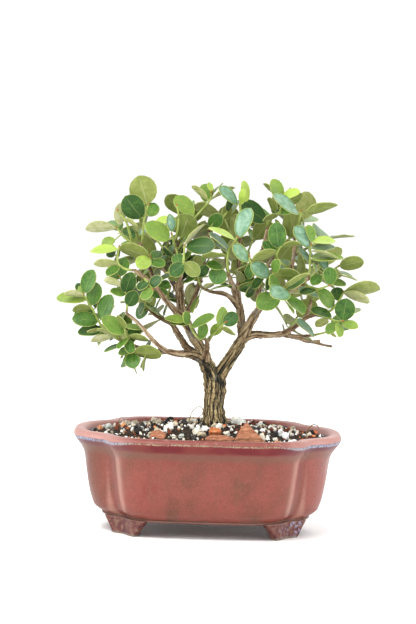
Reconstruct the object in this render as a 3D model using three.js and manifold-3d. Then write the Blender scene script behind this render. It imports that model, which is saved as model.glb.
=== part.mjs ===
// A natal plum bonsai in its glazed pot, in millimetres, +Z up.
// The pot's centre is x = 0, y = 0 while the pieces are made, and the finished group is then moved
// so that the middle of everything stands over the origin. -Y is the side that faces the viewer.
import * as THREE from 'three';
import { mergeVertices } from 'three/addons/utils/BufferGeometryUtils.js';
import Module from 'manifold-3d';

const wasm = await Module();
wasm.setup();

// Driving sizes
const POT_HALF_WIDTH = 101.5;
const POT_HALF_DEPTH = 76.5;
const POT_HEIGHT = 77;
const FOOT_HEIGHT = 11.5;
const FLOOR_TOP = 17.5;
const LONG_LOBE_HALF_WIDTH = 78;
const SIDE_LOBE_HALF_DEPTH = 56;
const NOTCH_SHARPNESS = 60;
const FOOT_PLACE = { x: 61.5, y: 37 };
const DRAIN_HOLE_RADIUS = 8;
const DRAIN_HOLE_X = 38;
const SCREEN_SIDE = 26;
const SCREEN_THICKNESS = 1.2;
const GAP = 0.3;
const SOIL_EDGE_HEIGHT = 72;
const SOIL_MOUND = 9;
const GRAVEL_DEPTH = 3.4;
const BED_HALF_WIDTH = 88.2;
const LEAST_DETAIL = 0.03;
const BED_SHARES = [1, 0.5, 0];
const TRUNK_X = 5;
const TRUNK_HOLE_RADIUS = 9.4;
const TRUNK_BOTTOM = 58;
const TRUNK_FOOT = 78;
const TREE_LEAN = 1.6;
const BLADE_THICKNESS = 0.7;
const BLADE_ARCH = 0.1;
const BLADE_FOLD = 0.16;
const LEAST_WIDTH_SHARE = 0.68;
const PLAIN_LEAF_LENGTH = 24;
const LEAST_LEAF_LENGTH = 13;
const STALK_HALF_WIDTH = 0.45;
const STALK_HALF_DEPTH = 0.42;
const STALK_LENGTH = 2.6;
const STALK_ROOT = 0.6;
const TIP_ROOT_SHARE = 0.15;
const TIP_BLUNTNESS = 0.8;
const SHOOT_BASE_RADIUS = 1.15;
const SHOOT_TIP_RADIUS = 0.95;
const SHOOT_RING_SPACING = 11;
const BLADE_CLEARANCE = 1.15;
const OWN_SPRAY_CLEARANCE = 0.2;

// Outlines of the pot wall as half width and height: the outside from the foot ring up to the rim, and
// the inside from the rim down to the floor
const POT_OUTSIDE = [
  [77.5, FOOT_HEIGHT], [84.6, 18.4], [88.6, 28], [93, 58], [97.6, 66], [POT_HALF_WIDTH, 71.4],
  [98.6, POT_HEIGHT],
];
const POT_INSIDE = [[91.6, POT_HEIGHT], [88.6, 68], [82.5, 22], [78, FLOOR_TOP]];
const POT_SIDES = 48;

// Directions of the bed's corners in degrees, closer together where the lobes bend most
const BED_QUARTER = [0, 15, 30, 37.5, 45, 60, 75];
const BED_ANGLES = [0, 180]
  .flatMap((half) => BED_QUARTER.flatMap((step) => [half + step, half + 180 - (step || 90)]))
  .sort((first, second) => first - second);

// Half width, half depth and height of a foot's rings, from the ground up into the pot
const FOOT_RINGS = [[10, 9, 0], [11.2, 10.2, 3.6], [14, 12.8, 8.2], [17.4, 16, 12.6]];

// The woody limbs: each point is x, y, z and the radius there
const LIMBS = {
  trunk: [[5, 0, TRUNK_BOTTOM, 4.5], [5, 0, 69, 7], [5, 0, 80, 8.5], [4.5, 0, 88, 7.6], [4.5, 0, 97, 7.1],
    [5.5, 0, 106, 7.2], [5.5, 0, 113, 7]],
  leftFork: [[4, 0, 108, 5.8], [2.5, -1, 118, 5.5], [-1, -2, 126.5, 5.2], [-5, -3, 132, 4.3]],
  lowLeft: [[-4, -3, 131, 4], [-13, -8, 135, 3.3], [-21, -14, 136, 2.4], [-29, -20, 138, 2.1],
    [-33, -24, 140, 1.8], [-38.5, -28, 145, 1.5], [-44, -29, 151, 1.4], [-49, -28, 157, 1.3],
    [-55, -27, 163, 1.2],
    [-61, -26, 167.5, 1.1]],
  lowOuter: [[-30.5, -19, 138, 2], [-39.5, -20, 138.5, 1.7], [-48.5, -18, 140, 1.5], [-57, -15, 142.5, 1.3],
    [-64.5, -12, 145, 1.2]],
  midLeft: [[-7, -3, 133, 3.5], [-15, 1, 138, 2.7], [-19.5, 4, 144, 2.4], [-24, 8, 151, 2.1],
    [-27.5, 11, 156, 1.8],
    [-35, 14, 159.5, 1.3], [-41, 16, 163, 1.2], [-46.5, 18, 169, 1.1]],
  leftLeader: [[-0.5, -2, 128, 4], [-5, -4, 139, 3.7], [-11, -6, 148, 3.5], [-15.5, -6, 157, 3.4],
    [-19.5, -4, 165, 3.3],
    [-21, -2, 175, 3.1], [-21.5, 0, 184.5, 2.7], [-21.5, 2, 193.5, 2.3], [-23, 2, 206.5, 1.7],
    [-25, 0, 219, 1.2]],
  leftArm: [[-20, -5, 164, 2.7], [-25, -10, 168.5, 2.3], [-31, -18, 176, 1.9], [-36.5, -24, 184, 1.7],
    [-41.5, -28, 190.5, 1.5], [-48, -32, 195.5, 1.3], [-54, -34, 200.5, 1.1]],
  leftTop: [[-38.5, -26, 187, 1.5], [-42.5, -18, 197.5, 1.4], [-46.5, -10, 208, 1.2], [-51, -5, 218, 1.1]],
  leftInner: [[-18.5, -4, 163, 2.5], [-13.5, 2, 170, 2], [-9.5, 8, 178.5, 1.8], [-6.5, 13, 188, 1.6],
    [-4.5, 16, 196, 1.5], [-1.5, 15, 211.5, 1.3], [1, 8, 228, 1.1]],
  spur: [[-1.5, -4, 129.5, 2.8], [-1, -10, 137, 2.1], [-0.5, -16, 143, 1.7], [-1, -19, 147, 1.2]],
  rightFork: [[5.5, 0, 108, 5.6], [9, 1, 118.5, 4.8], [14.5, 2, 127, 4.5], [19.5, 3, 134.5, 4.3],
    [24, 4, 142, 4.1],
    [27.5, 4, 149, 3.7]],
  centre: [[26.5, 4, 146, 3.5], [25.5, 7, 154.5, 3], [25, 10, 162, 2.8], [24, 13, 169.5, 2.5],
    [23, 15, 175, 2.1],
    [23, 16, 182.5, 1.6], [23, 15, 197.5, 1.4], [24.5, 8, 214.5, 1.2], [23.5, 3, 229.5, 1.1]],
  centreLeft: [[24, 12, 168, 2.3], [17.5, 10, 176, 1.8], [11, 6, 180, 1.5], [3, 2, 181.5, 1.2],
    [-4.5, -4, 185, 1.1]],
  centreBack: [[23.5, 14, 171, 1.9], [19.5, 24, 179.5, 1.5], [16.5, 35, 189, 1.3], [14, 46, 200.5, 1.1]],
  centreFront: [[24, 13, 172, 1.8], [21.5, 2, 181.5, 1.5], [18, -14, 190.5, 1.3], [16, -26, 196, 1.1]],
  rightArm: [[26, 4, 147, 3.6], [31.5, 0, 157, 3], [35.5, -3, 164, 2.8], [40.5, -7, 171, 2.7],
    [47, -10, 175.5, 2.1],
    [53, -13, 179, 1.9], [60, -16, 183.5, 1.7], [67.5, -19, 187.5, 1.5], [75.5, -22, 193.5, 1.1]],
  rightTop: [[39.5, -6, 169.5, 2.6], [38.5, -2, 178.5, 2.1], [38, 2, 186.5, 2], [39, 6, 199, 1.5],
    [42, 8, 214.5, 1.3],
    [44.5, 10, 228, 1.1]],
  rightFront: [[38.5, 1, 184.5, 1.7], [38, -14, 193, 1.4], [39, -30, 200.5, 1.1]],
  rightBack: [[38.5, 3, 189.5, 1.6], [44.5, 20, 199, 1.4], [53, 34, 208.5, 1.2], [59, 43, 215, 1.1]],
  rightHigh: [[57.5, -15, 181.5, 1.6], [62, -14, 194.5, 1.4], [64.5, -12, 209.5, 1.2],
    [65.5, -11, 224.5, 1.1]],
  rightLow: [[25, 3, 145.5, 3.3], [34, 6, 148.5, 2.7], [41.5, 9, 148, 2.5], [50, 11, 148, 2.3],
    [58.5, 12, 148.5, 2.1]],
  rightLowUp: [[56, 12, 148.5, 2], [64.5, 9, 153, 1.7], [70, 5, 157.5, 1.5], [74, 0, 161.5, 1.4],
    [80, -6, 164.5, 1.3],
    [86.5, -10, 167, 1.1]],
  rightLowTwig: [[73, 2, 160.5, 1.2], [76.5, 5, 167, 1.1], [78, 6, 173.5, 1]],
  bareTwig: [[56.5, 12, 148.5, 1.9], [64.5, 11, 146.5, 1.4], [70.5, 8, 145, 1.2], [75, 6, 143.5, 1.2],
    [80, 3, 143, 1.1],
    [87, -1, 141.5, 0.9], [94, -5, 140.5, 0.8]],
  bareSpur: [[78, 4, 143, 0.9], [85, 1, 144.5, 0.8]],
  rightLowGreen: [[61.5, 11, 147.5, 1.2], [70.5, 4, 147.5, 1.1], [78.5, -6, 149, 1.1]],
  leftBack: [[-21.5, -1, 179, 1.9], [-27.5, 15, 189, 1.6], [-35.5, 29, 199, 1.3], [-42, 40, 207, 1.1]],
  leaderBack: [[-21.5, 1, 187.5, 1.8], [-18.5, 18, 197.5, 1.4], [-15.5, 33, 208.5, 1.2],
    [-13.5, 46, 217.5, 1.1]],
  leaderFront: [[-21.5, 0, 182, 1.8], [-20.5, -16, 191.5, 1.4], [-19.5, -32, 199.5, 1.1]],
};

// Sprays that the front view shows, leaf by leaf, with points in whole or half millimetres.
// A stem is a list of points, and a second stem grows from the first. A leaf is the foot of its blade,
// its tip, the width that shows and its look: d dark, m middle, l light, b bluish and y young show the
// upper face, o olive and p pale show the underside.
const SHOWN_SPRAYS = {
  topLeftOuter: {
    stems: [[[-51, -5, 218], [-57, -5, 219.5], [-63, -4, 223], [-68.5, -2, 230]], [[-57, -5, 219.5],
      [-59.5, -8, 229], [-61.5, -9, 235], [-67.5, -10, 243.5]]],
    leaves: [
      [-69, -2, 230, -92, 0, 231, 9, 'p'], [-67, -2, 232, -65, 2, 249, 9, 'p'],
      [-55, -5, 222, -63, 3, 230, 8, 'd'], [-63, -9, 237, -52, -12, 233, 4, 'p'],
    ],
  },
  topLeftUpright: {
    stems: [[[-50, -6, 216.5], [-49, -7, 226], [-48, -6, 237], [-45, 0, 247.5]]],
    leaves: [
      [-50, -6, 238, -62, -10, 254, 18, 'd'], [-46, 0, 248, -52, 3, 269, 21, 'o'],
      [-50, -7, 225, -46, -4, 232, 6, 'b'], [-44, -4, 239, -40, 0, 249, 11, 'b'],
    ],
  },
  frontLeftHigh: {
    stems: [[[-23, 2, 206.5], [-23.5, -10, 213.5], [-25.5, -20, 220.5], [-27, -26, 227]]],
    leaves: [
      [-29, -22, 223, -46, -27, 235, 13, 'l'], [-27, -26, 229, -28, -26, 242, 7, 'b'],
    ],
  },
  leftCrown: {
    stems: [[[-25, 0, 219], [-23, -5, 228], [-22, -5, 238.5], [-23.5, -3, 247]]],
    leaves: [
      [-20, -3, 223, -14, -7, 241, 18, 'o'],
      [-24, -5, 236, -38, -8, 239, 5, 'y'],
    ],
  },
  crownLeft: {
    stems: [[[-24.5, 1, 215], [-16, 3, 229], [-9, 4, 238.5], [1, 4, 250], [2.5, 4, 256.5]]],
    leaves: [
      [-11, 4, 239, -24, 7, 254, 12, 'l'], [0, 4, 251, -11, 6, 262, 5, 'p'],
      [2, 4, 251, 19, 7, 262, 4, 'p'],
    ],
  },
  crownInner: {
    stems: [[[1, 8, 228], [4.5, 6, 233.5], [10.5, 5, 237], [16, 6, 243.5]]],
    leaves: [
      [1, 7, 231, 10, 2, 239, 11, 'd'], [12, 5, 236, 16, 11, 246, 8, 'o'],
      [16, 6, 243, 16, 3, 251, 6, 'd'], [14, 6, 241, 10, 9, 253, 5, 'o'],
    ],
  },
  frontCentreHigh: {
    stems: [[[16, -26, 196], [14.5, -30, 206], [16, -31, 216], [22, -31, 225]]],
    leaves: [
      [23, -31, 225, 30, -33, 247, 12, 'l'], [20, -31, 223, 2, -32, 234, 3, 'y'],
      [15, -31, 216, 2, -27, 229, 4, 'b'],
      [15, -31, 214, 7, -22, 221, 5, 'b'], [14, -30, 211, -5, -25, 211, 5, 'o'],
    ],
  },
  frontLeader: {
    stems: [[[-19.5, -32, 199.5], [-18, -30, 209], [-17.5, -27, 218]]],
    leaves: [
      [-16, -27, 218, 6, -31, 216, 13, 'd'], [-17, -27, 219, 2, -26, 228, 4, 'p'],
      [-18, -31, 205, -29, -35, 197, 11, 'd'], [-17, -31, 206, -12, -34, 193, 11, 'o'],
    ],
  },
  crownCentre: {
    stems: [[[23.5, 3, 229.5], [24.5, -3, 238.5], [24.5, -4, 247], [26.5, -3, 253]]],
    leaves: [
      [22, -4, 248, 10, -7, 262, 8, 'b'], [25, -4, 248, 27, -7, 260, 5, 'y'],
      [27, -3, 250, 24, -1, 267, 7, 'y'], [27, -3, 251, 45, 1, 254, 5, 'p'],
    ],
  },
  crownRight: {
    stems: [[[44.5, 10, 228], [46, 8, 235], [52.5, 2, 239.5], [55, 0, 246], [55.5, 0, 253]]],
    leaves: [
      [44, 9, 234, 25, 3, 249, 14, 'd'], [52, 3, 239, 41, 0, 237, 5, 'o'],
      [55, 2, 240, 65, 5, 247, 8, 'm'],
      [55, 0, 250, 50, -2, 267, 10, 'l'], [56, 0, 253, 68, -3, 263, 5, 'y'],
      [56, 0, 246, 70, 5, 256, 9, 'o'],
    ],
  },
  highRight: {
    stems: [[[65.5, -11, 224.5], [67.5, -13, 233], [69, -15, 239], [70, -15, 243.5]]],
    leaves: [
      [68, -15, 241, 51, -20, 259, 7, 'b'], [72, -15, 241, 96, -17, 251, 8, 'o'],
      [65, -11, 226, 60, -8, 234, 5, 'm'],
    ],
  },
  upperRight: {
    stems: [[[75.5, -22, 193.5], [76.5, -22, 202], [76.5, -22, 211], [77, -22, 218.5]]],
    leaves: [
      [76, -22, 217, 66, -26, 233, 10, 'b'], [78, -22, 221, 74, -16, 232, 7, 'l'],
      [78, -22, 221, 93, -24, 230, 5, 'y'],
      [78, -22, 216, 95, -20, 218, 5, 'd'], [78, -22, 214, 98, -25, 214, 3, 'p'],
      [78, -22, 208, 101, -17, 215, 7, 'l'], [75, -22, 206, 70, -18, 216, 5, 'b'],
    ],
  },
  outerRight: {
    stems: [[[74, -21, 192.5], [82.5, -19, 195], [91, -17, 197.5], [98, -14, 202]]],
    leaves: [
      [99, -14, 202, 116, -11, 208, 11, 'o'],
      [89, -17, 199, 89, -20, 211, 7, 'b'],
      [82, -19, 198, 72, -25, 202, 6, 'm'], [84, -19, 196, 74, -22, 193, 6, 'd'],
    ],
  },
  rightMiddle: {
    stems: [[[69.5, -20, 189], [76.5, -24, 187.5], [82.5, -26, 186], [90.5, -27, 188.5]]],
    leaves: [
      [92, -27, 189, 91, -30, 202, 11, 'd'],
      [81, -26, 185, 69, -30, 184, 4, 'd'],
    ],
  },
  farRight: {
    stems: [[[86.5, -10, 167], [92.5, -13, 168.5], [96.5, -14, 173], [99.5, -14, 177.5], [102, -12, 182]]],
    leaves: [
      [94, -14, 171, 84, -18, 185, 10, 'm'], [98, -14, 176, 97, -11, 187, 10, 'd'],
      [102, -12, 182, 121, -8, 175, 8, 'p'], [103, -12, 183, 129, -3, 186, 11, 'o'],
    ],
  },
  lowRight: {
    stems: [[[81.5, -7, 164.5], [89, -14, 163.5], [95.5, -20, 161.5], [100.5, -22, 161.5]]],
    leaves: [
      [101, -22, 162, 104, -26, 178, 16, 'd'], [101, -22, 160, 112, -22, 158, 6, 'l'],
      [98, -21, 160, 99, -24, 151, 6, 'y'],
      [95, -20, 160, 90, -26, 155, 7, 'l'], [93, -17, 164.5, 78, -20, 171, 6, 'd'],
      [90, -16, 162, 82, -13, 157, 7, 'o'], [100, -21.5, 164, 117, -14, 171, 5, 'l'],
    ],
  },
  rightTwigTip: {
    stems: [[[78, 6, 173.5], [77.5, 6, 177.5], [78, 6, 180.5]]],
    leaves: [
      [76, 6, 179, 54, 11, 184, 6, 'p'],
    ],
  },
  lowRightGreen: {
    stems: [[[78.5, -6, 149], [83.5, -6, 150], [90, -5, 151.5]]],
    leaves: [
      [80, -9, 149, 68, -20, 162, 4, 'b'],
    ],
  },
  farLeft: {
    stems: [[[-64.5, -12, 145], [-73, -10, 149.5], [-79, -9, 155], [-83, -8, 161], [-87.5, -8, 170],
      [-93.5, -9, 180]]],
    leaves: [
      [-93, -9, 182, -87, -13, 199, 11, 'd'], [-92, -9, 176, -114, -7, 179, 8, 'l'],
      [-94, -9, 179, -109, -13, 182, 6, 'p'],
      [-88, -8, 172, -84, -10, 189, 12, 'm'], [-88, -8, 170, -102, -6, 169, 7, 'o'],
      [-83, -8, 160, -102, -10, 163, 11, 'm'],
      [-81, -8, 161, -74, -13, 180, 12, 'd'], [-73, -10, 148, -88, -6, 146, 6, 'p'],
    ],
  },
  lowLeftFront: {
    stems: [[[-57, -15, 142.5], [-60, -20, 147], [-62, -24, 152.5], [-62.5, -25, 157.5]],
      [[-57.5, -17, 144], [-57, -19, 140], [-57, -20, 137.5]]],
    leaves: [
      [-63, -24, 152, -78, -27, 165, 11, 'm'], [-63, -25, 156, -72, -22, 165, 5, 'o'],
      [-62, -25, 157, -50, -27, 169, 5, 'l'],
      [-60, -22, 151, -50, -16, 157, 8, 'd'], [-60, -21, 149, -44, -23, 151, 6, 'o'],
      [-59, -20, 147, -58, -28, 139, 8, 'm'],
      [-58, -18, 145, -49, -16, 141, 7, 'd'], [-61, -21, 148, -64, -25, 138, 6, 'm'],
      [-57, -20, 137, -56, -23, 127, 12, 'd'], [-55, -20, 137, -34, -25, 141, 12, 'o'],
    ],
  },
  leftMiddle: {
    stems: [[[-61, -26, 167.5], [-60.5, -25, 172.5], [-61, -24, 179.5], [-63, -22, 186],
      [-66, -20, 194.5]]],
    leaves: [
      [-62, -23, 183, -57, -27, 198, 12, 'd'], [-62, -23, 182, -72, -25, 185, 5, 'm'],
      [-60, -25, 173, -54, -28, 184, 11, 'd'],
      [-66, -20, 195, -62, -22, 209, 10, 'd'],
      [-66, -20, 193, -74, -17, 199, 7, 'm'],
      [-64, -21, 188, -77, -16, 193, 6, 'o'],
      [-60, -25, 176, -45, -16, 186, 8, 'd'],
    ],
  },
  leftUpper: {
    stems: [[[-54, -34, 200.5], [-61, -30, 201], [-67, -27, 205], [-67.5, -24, 212.5], [-66.5, -22, 217]]],
    leaves: [
      [-67, -23, 215, -88, -22, 216, 5, 'y'],
      [-67, -27, 204, -85, -26, 206, 7, 'p'], [-67, -28, 203, -75, -30, 198, 6, 'm'],
    ],
  },
  leftInnerFront: {
    stems: [[[-45, -14, 202.5], [-43, -20, 205.5], [-43, -22, 209.5]]],
    leaves: [
      [-44, -22, 209, -65, -23, 219, 11, 'o'], [-44, -22, 209, -59, -29, 214, 6, 'y'],
      [-44, -16, 204, -58, -12, 203, 6, 'o'],
      [-42, -20, 206, -33, -24, 205, 6, 'm'], [-42, -21, 208, -34, -17, 213, 7, 'd'],
    ],
  },
  leftArmTip: {
    stems: [[[-48, -32, 195.5], [-45.5, -39, 192.5], [-41, -46, 187.5]]],
    leaves: [
      [-43, -42, 190, -35, -44, 196, 8, 'd'], [-42, -45, 188, -48, -48, 181, 7, 'm'],
      [-45, -38, 193, -51, -43, 188, 6, 'd'],
    ],
  },
  middleLeftBack: {
    stems: [[[-46.5, 18, 169], [-47.5, 16, 175], [-50.5, 14, 180.5]]],
    leaves: [
      [-48, 16, 174, -43, 13, 180, 8, 'm'], [-48, 17, 171, -54, 20, 163, 6, 'd'],
      [-47, 17, 171, -39, 15, 166, 5, 'p'], [-50, 14, 180, -56, 17, 185, 7, 'm'],
    ],
  },
  leftInside: {
    stems: [[[-27.5, -13, 171.5], [-30.5, 0, 177.5], [-28.5, 6, 184.5]]],
    leaves: [
      [-29, 5, 184, -37, 7, 188, 8, 'd'], [-30, 0, 178, -23, 3, 180, 7, 'd'],
      [-30, 2, 181, -37, 7, 175, 6, 'm'],
    ],
  },
  spurLeft: {
    stems: [[[-1, -19, 147], [-7, -21, 148.5], [-10.5, -22, 152.5], [-13.5, -23, 158.5], [-15, -24, 163]]],
    leaves: [
      [-16, -24, 161, -32, -23, 165, 5, 'l'], [-15, -23, 159, -28, -19, 161, 4, 'm'],
      [-14, -24, 160, -17, -29, 168, 6, 'm'],
      [-12, -24, 157, 4, -27, 167, 6, 'l'], [-6, -21, 148, -2, -24, 159, 8, 'm'],
    ],
  },
  spurRight: {
    stems: [[[-1, -16.5, 143], [3, -20, 150], [7, -22, 154.5], [10, -23, 157.5], [13, -24, 160.5]]],
    leaves: [
      [9, -23, 158, 8, -25, 172, 9, 'l'], [12, -24, 159, 21, -19, 166, 11, 'd'],
      [10, -23, 156, 21, -24, 153, 5, 'o'],
    ],
  },
  leftForkLeaf: {
    stems: [[[-14.5, 2, 168.5], [-15.5, 8, 170.5], [-16, 12, 173]]],
    leaves: [
      [-16, 11, 172, -10, 14, 187, 7, 'p'], [-16, 10, 172, -22, 14, 179, 6, 'm'],
    ],
  },
  centreLeftTip: {
    stems: [[[-4.5, -4, 185], [-7, -7, 190.5], [-7.5, -8, 196.5]]],
    leaves: [
      [-8, -8, 195, 0, -11, 201, 8, 'd'],
      [-8, -8, 197, -11, -11, 206, 7, 'o'],
    ],
  },
  frontCentreLow: {
    stems: [[[18, -14, 190.5], [14.5, -22, 196], [10.5, -25, 201]]],
    leaves: [
      [10, -25, 201, 7, -30, 190, 14, 'd'], [12, -24, 199, 2, -21, 193, 9, 'd'],
      [16, -18, 193, 24, -22, 203, 9, 'o'], [11, -25, 202, 0, -27, 205, 6, 'd'],
    ],
  },
  frontRightHigh: {
    stems: [[[39, -30, 200.5], [35.5, -33, 204], [31.5, -34, 207], [31, -34, 210.5]]],
    leaves: [
      [30, -34, 207, 20, -38, 220, 9, 'b'], [33, -34, 207, 50, -36, 217, 8, 'o'],
      [33, -34, 205, 29, -29, 194, 7, 'd'],
    ],
  },
  frontRightLow: {
    stems: [[[38.5, -20, 196], [43, -27, 195], [47.5, -31, 196.5], [50.5, -32, 201]]],
    leaves: [
      [46, -30, 196, 32, -36, 205, 11, 'b'], [49, -32, 199, 52, -34, 208, 7, 'm'],
      [49, -31, 197, 70, -34, 197, 10, 'o'],
      [44, -28, 194, 47, -25, 185, 7, 'd'], [42, -26, 194, 32, -22, 190, 7, 'd'],
    ],
  },
  innerRightHigh: {
    stems: [[[63, -13, 199], [55, -22, 205], [51.5, -28, 210.5], [53.5, -30, 216.5], [57.5, -30, 221]]],
    leaves: [
      [53, -30, 217, 51, -33, 236, 14, 'b'], [56, -30, 218, 68, -31, 222, 5, 'o'],
      [51, -28, 212, 42, -24, 222, 8, 'd'], [58, -18, 202, 65, -13, 206, 6, 'd'],
    ],
  },
};

// Sprays that the front view hides or only half shows. Their leaves stand in crosswise pairs by rule.
// Each has its shoot's points and its number of leaf pairs.
const PAIRED_SPRAYS = {
  backLeftTip: { stem: [[-42, 40, 207], [-48, 48, 214], [-52, 54, 221]], pairs: 3 },
  backLeftSide: { stem: [[-35.5, 29, 199], [-45, 37, 200], [-55, 42, 204]], pairs: 2 },
  backLeftLow: { stem: [[-27.5, 11, 156], [-38, 23, 163], [-47, 32, 172]], pairs: 3 },
  backLeaderTip: { stem: [[-13.5, 46, 217.5], [-15, 54, 226], [-18, 59, 235]], pairs: 3 },
  backCentreTip: { stem: [[14, 46, 200.5], [13, 55, 209], [14, 61, 219]], pairs: 3 },
  backRightTip: { stem: [[59, 43, 215], [66, 50, 223], [71, 55, 231]], pairs: 3 },
  backRightSide: { stem: [[53, 34, 208.5], [46, 44, 217], [40, 51, 227]], pairs: 2 },
  backRightLow: { stem: [[44.5, 20, 199], [57, 30, 199], [67, 38, 202]], pairs: 2 },
  rightArmBack: { stem: [[60, -16, 183.5], [68, 2, 188], [78, 20, 192], [86, 30, 198]], pairs: 4 },
  rightLowBack: { stem: [[58.5, 12, 148.5], [66, 25, 157], [73, 35, 166]], pairs: 3 },
  centreInside: { stem: [[23, 15, 197.5], [29, 24, 207], [34, 30, 218]], pairs: 2 },
  centreUpright: { stem: [[24.5, 8, 214.5], [18, 20, 224], [13, 29, 234]], pairs: 2 },
  leaderInside: { stem: [[-23, 2, 206.5], [-32, 14, 212], [-39, 23, 219]], pairs: 2 },
  rightHighBack: { stem: [[64.5, -12, 209.5], [75, -2, 215], [85, 7, 220]], pairs: 2 },
  rightArmFront: { stem: [[53, -13, 179], [55, -28, 184], [58, -42, 188]], pairs: 3 },
};

const SEED = 20;

// Colours for the plain solids
const COLOURS = {
  glaze: '#8f4038', soil: '#3a2a20', gravel: '#b9ae9d', bark: '#7a6546', chip: '#8a5a3c',
  orangeStone: '#b5602f', screen: '#23252a', leafDark: '#3f6b34', leafLight: '#7fa05a',
};

function paint(colour, roughness) {
  return new THREE.MeshStandardMaterial({ color: new THREE.Color(colour), roughness, metalness: 0 });
}

// Small seeded generator of draws between 0 and 1
function drawsFrom(seed) {
  let state = seed >>> 0;
  return () => {
    state = (state + 0x6d2b79f5) >>> 0;
    let mixed = Math.imul(state ^ (state >>> 15), state | 1);
    mixed ^= mixed + Math.imul(mixed ^ (mixed >>> 7), mixed | 61);
    return ((mixed ^ (mixed >>> 14)) >>> 0) / 4294967296;
  };
}

// Geometry with shared vertices and no empty triangles
function weld(geometry) {
  geometry.deleteAttribute('normal');
  geometry.deleteAttribute('uv');
  const merged = mergeVertices(geometry, 1e-3);
  const corners = merged.index.array;
  const kept = [];
  for (let i = 0; i < corners.length; i += 3) {
    const [a, b, c] = [corners[i], corners[i + 1], corners[i + 2]];
    if (a !== b && b !== c && c !== a) {
      kept.push(a, b, c);
    }
  }
  merged.setIndex(kept);
  return merged;
}

function solidOf(geometry) {
  const welded = weld(geometry);
  const vertProperties = new Float32Array(welded.attributes.position.array);
  const triVerts = new Uint32Array(welded.index.array);
  return new wasm.Manifold(new wasm.Mesh({ numProp: 3, vertProperties, triVerts }));
}

function joined(solids) {
  return solids.reduce((whole, next) => whole.add(next));
}

function geometryOf(solid) {
  const mesh = solid.getMesh();
  const geometry = new THREE.BufferGeometry();
  geometry.setAttribute('position', new THREE.BufferAttribute(Float32Array.from(mesh.vertProperties), 3));
  geometry.setIndex(Array.from(mesh.triVerts));
  return geometry;
}

// A closed skin of rings: place(ring, angle) gives each point, and the first and last rings are points
// on the axis or lie on each other
function skin(ringCount, sides, place) {
  const profile = Array.from({ length: ringCount }, (_, ring) => new THREE.Vector2(1, ring));
  const geometry = new THREE.LatheGeometry(profile, sides);
  const positions = geometry.attributes.position;
  for (let side = 0; side <= sides; side += 1) {
    const angle = (2 * Math.PI * (side % sides)) / sides;
    for (let ring = 0; ring < ringCount; ring += 1) {
      const point = place(ring, angle);
      positions.setXYZ(side * ringCount + ring, point.x, point.y, point.z);
    }
  }
  return solidOf(geometry);
}

// The pot's plan: two long lobes and two side lobes that meet in four upright notches
function planShare(angle) {
  const [c, s] = [Math.abs(Math.cos(angle)), Math.abs(Math.sin(angle))];
  const long = ((c / LONG_LOBE_HALF_WIDTH) ** 4.5 + (s / POT_HALF_DEPTH) ** 4.5) ** (-1 / 4.5);
  const side = ((c / POT_HALF_WIDTH) ** 2.8 + (s / SIDE_LOBE_HALF_DEPTH) ** 2.8) ** (-1 / 2.8);
  const reach = side * (1 + (long / side) ** NOTCH_SHARPNESS) ** (1 / NOTCH_SHARPNESS);
  return { x: (reach * Math.cos(angle)) / POT_HALF_WIDTH, y: (reach * Math.sin(angle)) / POT_HALF_DEPTH };
}

function planPoint(angle, halfWidth, z) {
  const share = planShare(angle);
  const halfDepth = halfWidth - (POT_HALF_WIDTH - POT_HALF_DEPTH);
  return new THREE.Vector3(share.x * halfWidth, share.y * halfDepth, z);
}

function makeFoot(signX, signY) {
  const rings = [[0, 0, 0], ...FOOT_RINGS, [0, 0, FOOT_RINGS.at(-1)[2]]];
  const block = skin(rings.length, 12, (ring, angle) => {
    const [halfWidth, halfDepth, z] = rings[ring];
    const [c, s] = [Math.cos(angle), Math.sin(angle)];
    const reach = (Math.abs(c) ** 3.4 + Math.abs(s) ** 3.4) ** (-1 / 3.4);
    return new THREE.Vector3(
      signX * FOOT_PLACE.x + halfWidth * reach * c, signY * FOOT_PLACE.y + halfDepth * reach * s, z,
    );
  });
  const bounds = [[0, -1], [78.4, -1], [78.4, 20], [0, 20]];
  return block.intersect(skin(bounds.length, POT_SIDES, (ring, angle) => {
    const [halfWidth, z] = bounds[ring];
    return halfWidth ? planPoint(angle, halfWidth, z) : new THREE.Vector3(0, 0, z);
  }));
}

function makePot() {
  const rings = [
    () => new THREE.Vector3(0, 0, FOOT_HEIGHT),
    ...POT_OUTSIDE.map(([halfWidth, z]) => (angle) => planPoint(angle, halfWidth, z)),
    ...POT_INSIDE.map(([halfWidth, z]) => (angle) => planPoint(angle, halfWidth, z)),
    () => new THREE.Vector3(0, 0, FLOOR_TOP),
  ];
  let pot = skin(rings.length, POT_SIDES, (ring, angle) => rings[ring](angle));
  for (const [signX, signY] of [[-1, -1], [1, -1], [-1, 1], [1, 1]]) {
    pot = pot.add(makeFoot(signX, signY));
  }
  for (const side of [-1, 1]) {
    const drill = new THREE.CylinderGeometry(DRAIN_HOLE_RADIUS, DRAIN_HOLE_RADIUS, 40, 16);
    drill.rotateX(Math.PI / 2);
    drill.translate(side * DRAIN_HOLE_X, 0, FLOOR_TOP);
    pot = pot.subtract(solidOf(drill));
  }
  return pot;
}

// A square of plastic mesh that keeps the soil off a drain hole
function makeScreen() {
  let screen = solidOf(new THREE.BoxGeometry(SCREEN_SIDE, SCREEN_SIDE, SCREEN_THICKNESS));
  for (const row of [-5.5, 5.5]) {
    for (const column of [-5.5, 5.5]) {
      const opening = new THREE.BoxGeometry(8, 8, 4 * SCREEN_THICKNESS);
      opening.translate(column, row, 0);
      screen = screen.subtract(solidOf(opening));
    }
  }
  return screen;
}

// Height of the top dressing from the trunk, share 0, to the wall, share 1
function moundHeight(share) {
  return SOIL_EDGE_HEIGHT + SOIL_MOUND * (1 - share ** 2);
}

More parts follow.
